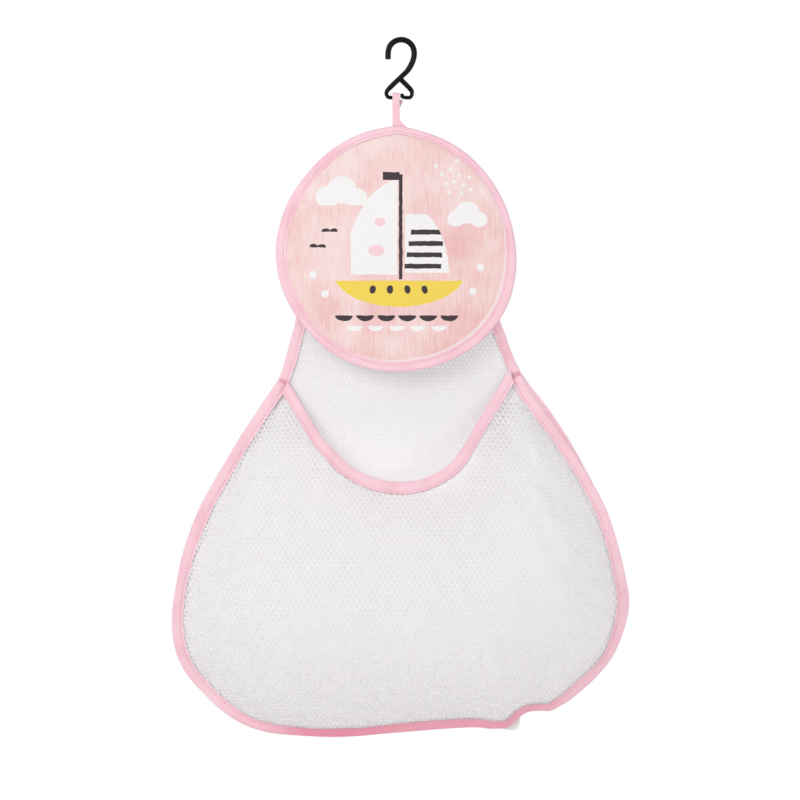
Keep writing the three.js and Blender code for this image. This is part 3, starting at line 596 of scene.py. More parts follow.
# A hand's unsteady line: each shape is moved by up to 0.75 mm, in waves 6 mm long.
unsteady = add(tree, "TexNoise", [("Vector", head_place), ("Scale", 1 / 6.25), ("Detail", 2.0)])
hand = add(tree, "VectorMath", [(0, unsteady.outputs["Color"]), (1, (1.5, 0, 1.5)),
                                (2, (-0.75, 0, -0.75))], operation="MULTIPLY_ADD")
drawn = add(tree, "VectorMath", [(0, head_place), (1, hand.outputs[0])], operation="ADD").outputs[0]
colour = brushed.outputs[0]
for code, x, z, wide, high, turned, box_x, box_z, box_wide, box_high in SHAPES:
    oval = add(tree, "Mapping", [
        ("Vector", drawn), ("Location", (x, 0, z)), ("Rotation", (0, math.radians(turned), 0)),
        ("Scale", (wide, ANY_DEPTH, high))], vector_type="TEXTURE")
    radius = add(tree, "VectorMath", [(0, oval.outputs[0])], operation="LENGTH")
    mask = add(tree, "Math", [(0, radius.outputs["Value"]), (1, 1.0)], operation="LESS_THAN")
    if box_wide < WIDE[2]:
        box = add(tree, "Mapping", [
            ("Vector", drawn), ("Location", (box_x, 0, box_z)),
            ("Scale", (box_wide, ANY_DEPTH, box_high))], vector_type="TEXTURE")
        sides = add(tree, "VectorMath", [(0, box.outputs[0])], operation="ABSOLUTE")
        parts = add(tree, "SeparateXYZ", [(0, sides.outputs[0])])
        furthest = add(tree, "Math", [(0, parts.outputs["X"]), (1, parts.outputs["Z"])],
                       operation="MAXIMUM")
        within = add(tree, "Math", [(0, furthest.outputs[0]), (1, 1.0)], operation="LESS_THAN")
        mask = add(tree, "Math", [(0, mask.outputs[0]), (1, within.outputs[0])],
                   operation="MULTIPLY")
    colour = add(tree, "Mix", [(0, mask.outputs[0]), (6, colour), (7, to_linear(code))],
                 data_type="RGBA").outputs[2]
low_right = add(tree, "VectorMath", [(0, head_place), (1, (0.8, 0, -0.6))], operation="DOT_PRODUCT")
rim_share = add(tree, "MapRange", [("Value", low_right.outputs["Value"]), ("From Min", 10.0),
                                   ("From Max", 60.0), ("To Min", 0.0), ("To Max", 0.8)])
pale = add(tree, "MapRange", [
    ("Value", rim_inset), ("From Min", PALE_RIM[0]), ("From Max", PALE_RIM[1]), ("To Min", 1.0),
    ("To Max", 0.0)])
pale = add(tree, "Math", [(0, pale.outputs[0]), (1, rim_share.outputs[0])], operation="MULTIPLY")
colour = add(tree, "Mix", [(0, pale.outputs[0]), (6, colour), (7, to_linear("#F8ECEC"))],
             data_type="RGBA").outputs[2]
weave = add(tree, "TexNoise", [("Vector", head_place), ("Scale", 1 / 0.4167), ("Detail", 2.0)])
bump = add(tree, "Bump", [("Height", weave.outputs["Fac"]), ("Strength", 0.18),
                          ("Distance", 0.00006)])
shade = add(tree, "BsdfPrincipled", [
    ("Base Color", colour), ("Roughness", 0.55), ("Specular IOR Level", 0.30),
    ("Normal", bump.outputs[0])])
add(tree, "OutputMaterial", [("Surface", shade.outputs[0])])
inside_tape = inset - head_tape_width(angle)
pattern_map(head_print, np.stack([angle * HEAD_RADIUS + 0 * inset, inside_tape], -1))
fit(head_print, printed, "head", "printed_cloth", "head_print")

# Foam: one sheet of white foam cut round, seen only where the cloth is opened. Its front follows
# the cloth, and its edge is pressed thin by the tape.
CLOTH_GAP = 0.15  # between the printed cloth and the foam
FOAM_SHARE = 0.97  # how much of the cloth's swell the foam follows
THINNEST_FOAM = 0.6

foam_angle = angle[:, ::4]
foam_insets = np.concatenate([np.linspace(0, 16, 17), np.linspace(19, 99, 16)])
foam_inset, foam_x, foam_z = head_rings(foam_insets, foam_angle)
foam_swell = head_swell(foam_inset, foam_angle) * FOAM_SHARE
foam_front = np.minimum(PRINT_FRONT + CLOTH_THICKNESS + CLOTH_GAP - foam_swell,
                        FOAM_REAR - THINNEST_FOAM)
foam_points = np.concatenate([np.stack([foam_x, foam_front, foam_z], -1)[::-1],
                              np.stack([foam_x, FOAM_REAR + 0 * foam_x, foam_z], -1)])
foam = solid("head_padding", foam_points, *capped_faces(*foam_points.shape[:2]))

# Polyurethane foam: matt and off-white, with cells 0.6 mm across.
white_foam, tree = new_material("white polyurethane foam")
here = add(tree, "TexCoord").outputs["Object"]
cells = add(tree, "TexVoronoi", [("Vector", here), ("Scale", 1000 / 0.625)])
bump = add(tree, "Bump", [("Height", cells.outputs["Distance"]), ("Strength", 0.5),
                          ("Distance", 0.0002)])
shade = add(tree, "BsdfPrincipled", [("Base Color", to_linear("#F4F2EC")), ("Roughness", 0.95),
                                     ("Normal", bump.outputs[0])])
add(tree, "OutputMaterial", [("Surface", shade.outputs[0])])
fit(foam, white_foam, "head", "foam_sheet", "head_foam")

# Backing: plain white woven polyester, cut like the front cloth and drawn nearly flat behind the
# foam, with small puckers inside the tape. Its threads are drawn 0.75 mm apart, coarser than they
# are, so that they show.
BACKING_SINK, BACKING_PUCKER = 0.12, 0.14

backing_y = BACKING_REAR - BACKING_SINK * eased(inset, 8, 16) + BACKING_PUCKER * ripple(
    angle, 2 * math.pi, 48, 21) * np.exp(-(((inset - 10) / 4) ** 2))
backing = solid("head_backing_cloth", np.stack([cloth_x, backing_y, cloth_z], -1), cloth_faces,
                centre_ring, way=(0, 1, 0))
thickened(backing, CLOTH_THICKNESS)
white_cloth, tree = new_material("white woven polyester")
here = add(tree, "TexCoord").outputs["Object"]
warp, weft = (add(tree, "TexWave", [("Vector", here), ("Scale", 1000 * WAVE_SPACING / 0.748),
                                    ("Distortion", 0.8)], bands_direction=way) for way in "XZ")
cross = add(tree, "Math", [(0, warp.outputs["Fac"]), (1, weft.outputs["Fac"])], operation="ADD")
mottle = add(tree, "TexNoise", [("Vector", here), ("Scale", 1000 / 25), ("Detail", 4.0)])
tint = add(tree, "Mix", [(0, mottle.outputs["Fac"]), (6, to_linear("#EAE8E7")),
                         (7, to_linear("#F3F1F0"))], data_type="RGBA")
bump = add(tree, "Bump", [("Height", cross.outputs[0]), ("Strength", 0.25), ("Distance", 0.0001)])
shade = add(tree, "BsdfPrincipled", [("Base Color", tint.outputs[2]), ("Roughness", 0.8),
                                     ("Specular IOR Level", 0.25), ("Normal", bump.outputs[0])])
add(tree, "OutputMaterial", [("Surface", shade.outputs[0])])
pattern_map(backing, np.stack([angle * HEAD_RADIUS + 0 * inset, inset], -1))
fit(backing, white_cloth, "head", "white_cloth", "head_backing")

# Head binding: pink tape folded round the edge of all three layers, with a leaf on each face
# and a line of stitches through both near their inner edges.
TAPE_THICKNESS = 0.45
FOLD_DEPTH = 1.7  # from the fold's nose to where the leaves begin
STITCH_INSET = 2.3
STITCH_DIP = 0.42  # how far the stitches draw the leaves in
LEAF_LIFT, LEAF_SWELL = 0.10, 0.12  # at its inner edge, and between the fold and the stitches
# The shortest waves along a tape, and how far the slow ones move the fold in and out, and then
# each kind moves the leaves forward and back.
SLOW_WAVE, QUICK_WAVE, SLANTED_WAVE = 38, 6.5, 9
FOLD_WANDER = 0.22
SLOW_RISE, QUICK_RISE, SLANTED_RISE = 0.10, 0.07, 0.06
HEAD_FRONT = PRINT_FRONT - 0.9
HEAD_BACK = -1.25


def folded_section(width, front, rear):
    """The section of a tape folded over an edge: in from the fold, and back. The fold is half an
    ellipse. The leaves dip where the stitches hold them and lift a little at their edges. The
    outer side comes first and then the inner one, back again. The width may differ from one
    station to the next."""
    width = np.asarray(width, float)[:, None]
    middle, half = (front + rear) / 2, (rear - front) / 2
    leaf = np.array([1, 0.985, 0.93, 0.86, 0.80, 0.72, 0.6, 0.42, 0.22, 0.06])
    fold = np.radians(np.linspace(90, -90, 9))

    def layer(inset):
        depth, tall = FOLD_DEPTH - inset, half - inset
        held = width - FOLD_DEPTH
        at_leaf = FOLD_DEPTH + held * leaf[None, :]
        from_edge = width - at_leaf
        dip = (STITCH_DIP * np.exp(-(((from_edge - STITCH_INSET) / 0.8) ** 2))
               - LEAF_LIFT * np.exp(-((from_edge / 0.5) ** 2)))
        swell = LEAF_SWELL * np.exp(-(((at_leaf - FOLD_DEPTH - held * 0.35) / (held * 0.3)) ** 2))
        upper = tall - dip + swell
        nose_in = FOLD_DEPTH - depth * np.cos(fold)[None, :] + 0 * width
        nose_up = tall * np.sin(fold)[None, :] + 0 * width
        inward = np.concatenate([at_leaf, nose_in, at_leaf[:, ::-1]], 1)
        outward = np.concatenate([upper, nose_up, -upper[:, ::-1]], 1)
        return inward, outward

    outer, inner = layer(0), layer(TAPE_THICKNESS)
    inward = np.concatenate([outer[0], inner[0][:, ::-1]], 1)
    outward = np.concatenate([outer[1], inner[1][:, ::-1]], 1)
    return inward, middle - outward


def tape(name, points, inward, rear, widths, front, back, run, seed, closed=False, place=None,
         slide=0):
    """A folded tape along an edge: each station's point, plus the section's numbers times the
    way in and the way back. Small waves run along the leaves, and slow ones move the fold. The
    front leaf may slide inwards from the rear one, which then shows beside it."""
    a, b = folded_section(widths, front, back)
    whole = run[-1] + (run[1] - run[0]) * closed
    along, count = run[:, None], a.shape[1]
    slow = ripple(along, whole, max(3, int(whole / SLOW_WAVE)), seed)
    quick = ripple(along, whole, max(4, int(whole / QUICK_WAVE)), seed + 1)
    slanted = ripple(along + a * 0.6, whole, max(4, int(whole / SLANTED_WAVE)), seed + 2)
    on_leaf = np.clip(a / np.asarray(widths)[:, None], 0, 1)
    a = a + FOLD_WANDER * slow * (1 - on_leaf)
    a = a + (slide + 0 * along) * (1 - eased((b - front) / (back - front), 0.35, 0.68))
    b = b + SLOW_RISE * slow + (QUICK_RISE * quick + SLANTED_RISE * slanted) * on_leaf
    spots = points[:, None] + inward[:, None] * a[..., None] + rear[:, None] * b[..., None]
    if place is not None:
        spots = place(spots)
    faces = ([grid_faces(len(points), count, closed_rows=True, closed_columns=True)] if closed
             else capped_faces(len(points), count))
    thing = solid(name, spots, *faces, smooth_below=65)
    pattern_map(thing, np.stack(np.broadcast_arrays(along, a), -1))
    return thing


def head_line(turn):
    """Stations round the head: the point, the way in and the way back."""
    step = 1e-3
    flat = [np.stack([head_reach(t) * np.sin(t), head_reach(t) * np.cos(t)], -1)
            for t in (turn - step, turn, turn + step)]
    way = flat[2] - flat[0]
    way /= np.linalg.norm(way, axis=1, keepdims=True)
    points = in_space(flat[1] + np.array([HEAD_SIDE, HEAD_HEIGHT]))
    inward = in_space(np.stack([way[:, 1], -way[:, 0]], -1))
    return points, inward, np.tile([0.0, 1.0, 0.0], (len(turn), 1))


head_turn = np.linspace(0, 2 * math.pi, 420, endpoint=False)
line = head_line(head_turn)
head_widths = head_tape_width(head_turn)
head_binding = tape("head_binding_tape", *line, head_widths, HEAD_FRONT, HEAD_BACK,
                    head_turn * HEAD_RADIUS, 41, closed=True)
fit(head_binding, pink_tape, "head", "pink_tape", "head_binding")

# Stitches: short lengths of pink polyester thread, each a small rounded bar sunk in the tape,
# 3 mm from one needle hole to the next.
STITCH_PITCH = 3.0
STITCH_SINK = 0.34  # how far in from the tape's face a stitch's middle lies


def stitched(name, points, ways, outs, length=2.5, width=0.55, height=0.42):
    """A row of stitches: each is the same little bar of five-sided rings, laid at its point
    along the way of the seam and standing out from the tape."""
    along = np.array([-0.5, -0.36, 0.36, 0.5])[:, None]
    thick = np.array([0.35, 1.0, 1.0, 0.35])[:, None]
    turn = np.radians([90, 162, 234, 306, 18])[None, :]
    shape = np.stack([along * length + 0 * turn, thick * np.cos(turn) * width / 2,
                      thick * np.sin(turn) * height / 2], -1).reshape(-1, 3)
    across = np.cross(outs, ways)
    frames = np.stack([ways, across, outs], 1)
    spots = points[:, None] + np.einsum("pk,nkd->npd", shape, frames)
    faces = grid_faces(4, 5, closed_columns=True)
    ends = np.array([[4, 3, 2, 1, 0], [15, 16, 17, 18, 19]])
    starts = np.arange(len(points))[:, None, None] * len(shape)
    return solid(name, spots, (starts + faces).reshape(-1, 4), (starts + ends).reshape(-1, 5),
                 smooth_below=70)


def seam_rows(points, inward, rear, widths, front, back, closed=False, slide=0):
    """Where the stitches of a folded tape lie, on both of its faces: their points, ways and the
    ways that they stand out. They lie evenly along the tape, between its stations."""
    steps = np.linalg.norm(np.diff(points, axis=0, append=points[:1]), axis=1)
    steps = steps if closed else steps[:-1]
    runs = np.concatenate([[0], np.cumsum(steps)])
    count = int(runs[-1] / STITCH_PITCH)
    at = (np.arange(count) + 0.5) * runs[-1] / count

    def picked(values):
        """The stations' values at the stitches, by how far along the tape each lies."""
        table = np.reshape(values, (len(points), -1))
        table = np.concatenate([table, table[:1]]) if closed else table
        return np.stack([np.interp(at, runs, column) for column in table.T], -1)

    width, slid = picked(widths), picked(np.ravel(slide) + np.zeros(len(points)))
    inner, behind = picked(inward), picked(rear)
    way = np.cross(inner, behind)
    way /= np.linalg.norm(way, axis=1, keepdims=True)
    out = np.cross(way, inner)
    out /= np.linalg.norm(out, axis=1, keepdims=True)
    line = picked(points) + inner * (width - STITCH_INSET)
    spots = np.concatenate([line + inner * slid + behind * (front + STITCH_SINK),
                            line + behind * (back - STITCH_SINK)])
    return spots, np.concatenate([way, way]), np.concatenate([-out, out])


head_stitches = stitched("head_stitches", *seam_rows(*line, head_widths, HEAD_FRONT, HEAD_BACK,
                                                     closed=True))

# Polyester thread: a deeper pink than the tape, with a soft gloss. Its twist shows as slanted
# bands 0.9 mm apart along the seam.
pink_thread, tree = new_material("pink polyester sewing thread")
here = add(tree, "TexCoord").outputs["Object"]
twist = add(tree, "TexWave", [("Vector", here), ("Scale", 1000 * 2 * WAVE_SPACING / 0.898),
                              ("Distortion", 2.0)], bands_direction="DIAGONAL")
bump = add(tree, "Bump", [("Height", twist.outputs["Fac"]), ("Strength", 0.3), ("Distance", 0.0001)])
tint = add(tree, "Mix", [(0, twist.outputs["Fac"]), (6, to_linear("#DE97AD")),
                         (7, to_linear("#E9AEC0"))], data_type="RGBA")
shade = add(tree, "BsdfPrincipled", [("Base Color", tint.outputs[2]), ("Roughness", 0.5),
                                     ("Sheen Weight", 0.1), ("Normal", bump.outputs[0])])
add(tree, "OutputMaterial", [("Surface", shade.outputs[0])])
fit(head_stitches, pink_thread, "head", "pink_thread", "head_seam_thread")

# Loop tack: a dense bar of stitches in the same thread, side by side across the ribbon, through
# both of its ends and the head's rear.
LOOP_TACK_REACH = (-2.8, 3.8)  # across, from the middle of the ribbon
LOOP_TACK_BACK = 1.05
TACK_STITCHES = 15

tack_x = RIBBON_SIDE + np.linspace(*LOOP_TACK_REACH, TACK_STITCHES)
tack_points = np.stack([tack_x, 0 * tack_x + LOOP_TACK_BACK,
                        0 * tack_x + RIBBON_ROOT - RIBBON_TAIL / 2], -1)
upright, backward = (np.tile(way, (TACK_STITCHES, 1)) for way in ([0.0, 0.0, 1.0], [0.0, 1.0, 0.0]))
loop_tack = stitched("loop_bar_tack", tack_points, upright, backward, length=2.4, width=0.5,
                     height=0.5)
fit(loop_tack, pink_thread, "head", "pink_thread", "loop_tack")

# Pocket outline: the bag's edge from one end of the neck's seam, down by the shoulder, round the
# bottom and up again. Below the seam everything leans back, so that the bag hangs plumb.
SEAM_DROP = 45.3  # from the middle of the head
SEAM_HEIGHT = HEAD_HEIGHT - SEAM_DROP
SEAM_END_INSET = 10  # how far the seam ends short of the head's edge
NECK_LENGTH = 64  # from the seam down to the shoulders
NECK_LEAN = 17.1  # how far the pocket hangs behind the seam
POCKET_HALF_WIDTH = 193.8
POCKET_HEIGHT = 304  # below the shoulders
# Across and down, in shares of the half width and the height.
POCKET_SHARES = (
    (-0.539, 0), (-0.632, 0.089), (-0.755, 0.214), (-0.868, 0.34), (-0.947, 0.465),
    (-0.991, 0.591), (-1.004, 0.674), (-0.993, 0.746), (-0.955, 0.808), (-0.885, 0.864),
    (-0.79, 0.923), (-0.665, 0.971), (-0.509, 0.992), (-0.245, 0.998), (0.084, 0.981),
    (0.303, 0.972), (0.4, 0.976), (0.47, 0.971), (0.527, 0.94), (0.565, 0.928),
    (0.61, 0.9255), (0.655, 0.9255), (0.7, 0.911), (0.745, 0.893), (0.872, 0.82),
    (0.945, 0.752), (0.996, 0.641),
    (0.978, 0.535), (0.908, 0.379), (0.825, 0.272), (0.737, 0.17), (0.649, 0.085),
    (0.526, -0.02))
# Each side of the neck bends out a little, this share of the way down from the seam.
NECK_BEND_SHARE, NECK_BEND_OUT = 0.63, 1.2
# How far the tape tips forward at its inner edge, in degrees, by the share of the outline: the
# net's weight turns it under along the bottom.
TAPE_TIPS = ((0.36, 0), (0.42, 34), (0.5, 38), (0.58, 34), (0.61, 36), (0.64, 10), (0.68, 0))

seam_half = math.sqrt(HEAD_RADIUS**2 - SEAM_DROP**2) - SEAM_END_INSET
pocket_places = [(a * POCKET_HALF_WIDTH, -NECK_LENGTH - d * POCKET_HEIGHT)
                 for a, d in POCKET_SHARES]
tops = (HEAD_SIDE - seam_half, 0), (HEAD_SIDE + seam_half, 0)
bends = [tuple(np.array(top) * (1 - NECK_BEND_SHARE) + np.array(low) * NECK_BEND_SHARE + (out, 0))
         for top, low, out in ((tops[0], pocket_places[0], NECK_BEND_OUT),
                               (tops[1], pocket_places[-1], -NECK_BEND_OUT))]
edge_places = [tops[0], bends[0], *pocket_places, bends[1], tops[1]]
edge_follow, edge_length, edge_shares = curve_through(edge_places)
left_shoulder, right_shoulder = edge_shares[2], edge_shares[-3]


def edge_line(shares):
    """Stations along the bag's edge: the point, the way in, which tips forward with the tape,
    and the way back, measured from the seam behind the head."""
    flat, way = edge_follow(shares)
    rear = np.tile([0.0, 1.0, 0.0], (len(flat), 1))
    tips = np.tan(np.radians(np.interp(shares, *np.transpose(TAPE_TIPS))))
    inward = in_space(np.stack([-way[:, 1], way[:, 0]], -1)) - rear * tips[:, None]
    return in_space(flat), inward, rear


def hung(spots):
    """Leans points back below the seam and puts them at their height."""
    moved = np.array(spots, float)
    moved[..., 1] += NECK_LEAN * eased(-moved[..., 2], 0, NECK_LENGTH)
    moved[..., 2] += SEAM_HEIGHT
    return moved


# Back net: one layer of white knitted polyester net, from the seam behind the head to the
# bottom. It is a close net: its small six-sided holes hardly show. It looks pale grey, partly
# from painted shade: its whites are a little greyer than the front net's, and it is greyed
# above the mouth.
BACK_HOLES = {"pitch": 3.9, "row": 3.28, "knot": 1.0, "side": (0.42, 0.24), "top": 0.56}
BACK_STRAND_HALF = 0.16  # half the thickness of the net at its knots
BACK_NET_DEPTH = 0.35


def lattice(low, high, kept, holes):
    """A sheet of six-sided holes: how far they lie apart along a row, how far the rows do, how
    high the knots beside a row's middle are, and a hole's corners beside and over its middle.
    Each hole has six knots, shared with its neighbours, and six corners of its own. Knots have a
    front and a rear point, and a strand's four faces run from them to the holes' corners. Where
    the next hole isn't kept, the strand is cut along its middle and closed. Gives flat places,
    how far each stands out, and faces."""
    columns = int((high[0] - low[0]) / holes["pitch"]) + 3
    rows = int((high[1] - low[1]) / holes["row"]) + 3
    j, i = np.meshgrid(np.arange(rows), np.arange(columns), indexing="ij")
    middle = np.stack([low[0] + (i + (j % 2) / 2) * holes["pitch"], low[1] + j * holes["row"]], -1)
    rise = holes["row"] - holes["knot"]
    keep = kept(middle)
    keep[[0, -1]] = keep[:, [0, -1]] = False
    odd = j % 2
    number = j * columns + i
    right_up, left_up = number + columns + odd, number + columns + odd - 1
    right_low, left_low = number - columns + odd, number - columns + odd - 1
    whole = rows * columns
    # the knot over a hole is numbered like the hole, the one under it that number plus all holes
    ring = [number, right_up + whole, right_low, number + whole, left_low, left_up + whole]
    beyond = [right_up, number + 1, right_low, left_low, number - 1, left_up]
    ring, beyond = (np.stack([part[keep] for part in parts], 1) for parts in (ring, beyond))
    open_side = ~keep.ravel()[np.clip(beyond, 0, whole - 1)]
    centres = middle[keep]
    (side, up), top = holes["side"], holes["top"]
    corner_steps = np.array([(0, top), (side, up), (side, -up), (0, -top), (-side, -up), (-side, up)])
    corners = centres[:, None] + corner_steps[None]
    knots = np.concatenate([middle.reshape(-1, 2) + (0, rise), middle.reshape(-1, 2) - (0, rise)])
    used, ring = np.unique(ring, return_inverse=True)
    ring = ring.reshape(-1, 6)
    count = len(used)
    own = 2 * count + np.arange(len(centres) * 6).reshape(-1, 6)
    places = np.concatenate([knots[used], knots[used], corners.reshape(-1, 2)])
    stand = np.concatenate([np.full(count, 1.0), np.full(count, -1.0), np.zeros(len(centres) * 6)])
    next_ring, next_own = np.roll(ring, -1, 1), np.roll(own, -1, 1)
    front = np.stack([ring, next_ring, next_own, own], -1).reshape(-1, 4)
    back = np.stack([own, next_own, next_ring + count, ring + count], -1).reshape(-1, 4)
    cut = np.stack([next_ring, ring, ring + count, next_ring + count], -1)[open_side]
    return places, stand, np.concatenate([front, back, cut])


def inside(spots, outline):
    """Whether flat points lie inside an outline: a line to the right crosses it an odd number of
    times."""
    x, z = spots[..., 0].ravel()[:, None], spots[..., 1].ravel()[:, None]
    (x0, z0), (x1, z1) = outline.T[:, None], np.roll(outline, -1, 0).T[:, None]
    crossing = (z0 > z) != (z1 > z)
    meets = x0 + (z - z0) * (x1 - x0) / np.where(z1 == z0, 1e-9, z1 - z0)
    return ((crossing & (x < meets)).sum(1) % 2 == 1).reshape(spots.shape[:-1])


HEM_CUT = 3.4  # the net ends this far inside the tape's fold
TOP_CUT = (4, -1.2)  # in from the seam's ends, and how high
BACK_NET_BOX = (-200, -372), (200, 4)  # it holds the whole outline

outline_points, outline_in, _ = edge_line(np.linspace(0, 1, 420))
cut_line = (outline_points + outline_in * HEM_CUT)[:, [0, 2]]
cut_line = np.vstack([cut_line[1:-1], [[tops[1][0] - TOP_CUT[0], TOP_CUT[1]],
                                       [tops[0][0] + TOP_CUT[0], TOP_CUT[1]]]])
flat_places, stand, net_faces = lattice(*BACK_NET_BOX, lambda c: inside(c, cut_line), BACK_HOLES)

TIPPED_PART = -200  # only the net below this height is drawn forward
TIPPED_REACH, TIPPED_END = 9, 70  # in from the fold: the tape's inner edge, and where it dies out
TIPPED_SPREAD = 7


def drawn_forward(flat):
    """How far the tipped tape draws the back net forward: as far as the tape at its inner edge,
    less outside, and dying out over the 60 mm inside it. The tip there is the mean of the tape's
    own, each weighed by the exponential of how much further than the nearest it is."""
    low = np.flatnonzero(flat[:, 1] < TIPPED_PART)
    forward = np.zeros(len(flat))
    for part in np.array_split(low, 20):
        away = np.linalg.norm(flat[part, None] - outline_points[None, :, [0, 2]], axis=2)
        nearest = away.min(1)
        weight = np.exp((nearest[:, None] - away) / TIPPED_SPREAD)
        tip = -(weight @ outline_in[:, 1]) / weight.sum(1)
        dying = 1 - eased(nearest, TIPPED_REACH, TIPPED_END)
        forward[part] = tip * np.minimum(nearest, TIPPED_REACH) * dying
    return forward


def back_net_place(flat):
    """A point of the flat back net in space: its sag is a few slow waves of about 1 mm that die
    out towards the tape."""
    x, z = flat[:, 0], flat[:, 1]
    slack = np.clip(1 - (x / 175) ** 2, 0, 1) * eased(-z, 0, 60) * (1 - eased(-z, 300, 350))
    waves = 1.1 * np.sin(x / 31 + z / 83 + 0.4) + 0.9 * np.sin(x / 57 - z / 41 + 1.9)
    return hung(np.stack([x, BACK_NET_DEPTH + slack * waves - drawn_forward(flat), z], -1))


def net_from(name, places, stand, faces, here, out):
    """A net in space: its points, with each knot standing out to both sides."""
    thing = solid(name, here + out * stand[:, None], faces, smooth_below=80)
    pattern_map(thing, places)
    return thing


here = back_net_place(flat_places)
upward, rightward = (back_net_place(flat_places + step) - here for step in ((0, 0.3), (0.3, 0)))
out = np.cross(upward, rightward)
out /= np.linalg.norm(out, axis=1, keepdims=True)
back_net = net_from("back_net_mesh", flat_places, stand * BACK_STRAND_HALF, net_faces, here, out)

PAINTED_SHADE_HEIGHTS = (-0.355, -0.315)  # heights in metres, a little above the mouth's lowest part, where the painted shade sets in


def net_cloth(name, dark, light, share, painted_shade=0.0):
    """White knitted polyester: soft matt filament yarn, drawn as loose loops 0.6 mm long along
    the strands, in two close whites. A share of the light goes through it, and above the mouth
    a painted shade may grey it."""
    material, tree = new_material(name)
    here = add(tree, "TexCoord").outputs["Object"]
    yarn = add(tree, "TexWave", [
        ("Vector", here), ("Scale", 1000 * WAVE_SPACING / 0.604), ("Distortion", 5.0),
        ("Detail", 2.0), ("Detail Scale", 2.0)], bands_direction="Z")
    tone = add(tree, "TexNoise", [("Vector", here), ("Scale", 1000 / 33.3), ("Detail", 3.0)])
    tint = add(tree, "Mix", [(0, tone.outputs["Fac"]), (6, to_linear(dark)), (7, to_linear(light))],
               data_type="RGBA")
    height = add(tree, "SeparateXYZ", [(0, here)]).outputs["Z"]
    # Painted shade: above the mouth the net's colour is mixed towards grey, up to the share given.
    neck = add(tree, "MapRange", [
        ("Value", height), ("From Min", PAINTED_SHADE_HEIGHTS[0]), ("From Max", PAINTED_SHADE_HEIGHTS[1]),
        ("To Min", 0.0), ("To Max", painted_shade)])
    tint = add(tree, "Mix", [(0, neck.outputs[0]), (6, tint.outputs[2]), (7, to_linear("#C4C3C4"))],
               data_type="RGBA")
    bump = add(tree, "Bump", [("Height", yarn.outputs["Fac"]), ("Strength", 0.35),
                              ("Distance", 0.00012)])
    shade = add(tree, "BsdfPrincipled", [("Base Color", tint.outputs[2]), ("Roughness", 0.7),
                                         ("Specular IOR Level", 0.3), ("Normal", bump.outputs[0])])
    through = add(tree, "BsdfTranslucent", [("Color", to_linear(light)), ("Normal", bump.outputs[0])])
    thin = add(tree, "MixShader", [(0, share), (1, shade.outputs[0]), (2, through.outputs[0])])
    add(tree, "OutputMaterial", [("Surface", thin.outputs[0])])
    return material


# Painted shade: the back net's whites are a little greyer than the front net's, and above the mouth it
# is greyed further.
close_net = net_cloth("white close polyester net", "#F8F7F8", "#FDFCFD", 0.30, painted_shade=0.22)
fit(back_net, close_net, "pocket", "white_net", "back_net")

# Neck bindings: the same pink tape, folded over the back net's two free sides between the head
# and the shoulders and stitched through.
NECK_TAPE_WIDTHS = {"left": 9.3, "right": 8.6}
NECK_FACE = -0.95
TAPE_BACK = 1.65

neck_gap = LAYER_GAP / edge_length
neck_ends = {"left": (0, left_shoulder - neck_gap), "right": (right_shoulder + neck_gap, 1)}


def sewn_tape(name, row_name, line, widths, faces, run, seed, *nodes, slide=0):
    """A tape folded over an edge of the hanging pocket, and the stitches through it, as two
    pieces. The nodes are the one that the tape stands for and, where it has one, the stitches'."""
    folded = tape(name, *line, widths, *faces, run, seed, place=hung, slide=slide)
    fit(folded, pink_tape, "pocket", "pink_tape", nodes[0])
    spots, ways, outs = seam_rows(*line, widths, *faces, slide=slide)
    row = stitched(row_name, hung(spots), ways, outs)
    fit(row, pink_thread, "pocket", "pink_thread", *nodes[1:])
    return folded, row


neck_pieces = []
for side, (start, end) in neck_ends.items():
    shares = np.linspace(start, end, 40)
    run = (shares - start) * edge_length
    widths = NECK_TAPE_WIDTHS[side] + WIDTH_WAVES * ripple(run, run[-1], 4, 51 + len(side))
    neck_pieces += sewn_tape("neck_tape_" + side, "neck_stitches_" + side, edge_line(shares), widths,
                             (NECK_FACE, TAPE_BACK), run, 61 + len(side), "neck_binding_" + side)

# Pocket binding: wider pink tape folded round both nets at the sides and the bottom. It shows
# narrower where it turns under at the bottom, and its rear leaf shows beside it at the upper
# right. Its width, the slide of its front leaf and its painted shade go by the share of the outline.
SEAM_TAPE_WIDTHS = (
    (0.06, 10), (0.13, 10.2), (0.2, 10.4), (0.25, 9.2), (0.3, 9.8), (0.36, 9.2), (0.385, 8.6),
    (0.42, 7.8), (0.46, 7.6), (0.5, 8.4), (0.55, 8.6), (0.575, 8), (0.59, 6.6), (0.622, 6.4),
    (0.64, 8), (0.66, 8.8), (0.69, 8.2), (0.74, 10.4), (0.8, 9.6), (0.95, 10))
LEAF_SLIDES = ((0.845, 0), (0.875, 2.6), (0.905, 3.8), (0.925, 3.4), (0.944, 0))
# Painted shade along the bottom: shares of the deeper pink, by the share of the outline.
BOTTOM_PAINTED_SHADE = ((0.36, 0), (0.4, 0.3), (0.43, 0.9), (0.46, 0.95), (0.5, 0.7), (0.58, 0.65),
              (0.62, 0.4), (0.67, 0))
POCKET_FACE = -2.05

shares = np.linspace(left_shoulder, right_shoulder, 560)
run = (shares - left_shoulder) * edge_length
widths = np.interp(shares, *np.transpose(SEAM_TAPE_WIDTHS)) + WIDTH_WAVES * ripple(
    run, run[-1], 26, 71)
pocket_binding, pocket_stitches = sewn_tape(
    "pocket_binding_tape", "pocket_stitches", edge_line(shares), widths, (POCKET_FACE, TAPE_BACK),
    run, 81, "pocket_binding", "pocket_seam_thread",
    slide=np.interp(shares, *np.transpose(LEAF_SLIDES))[:, None])
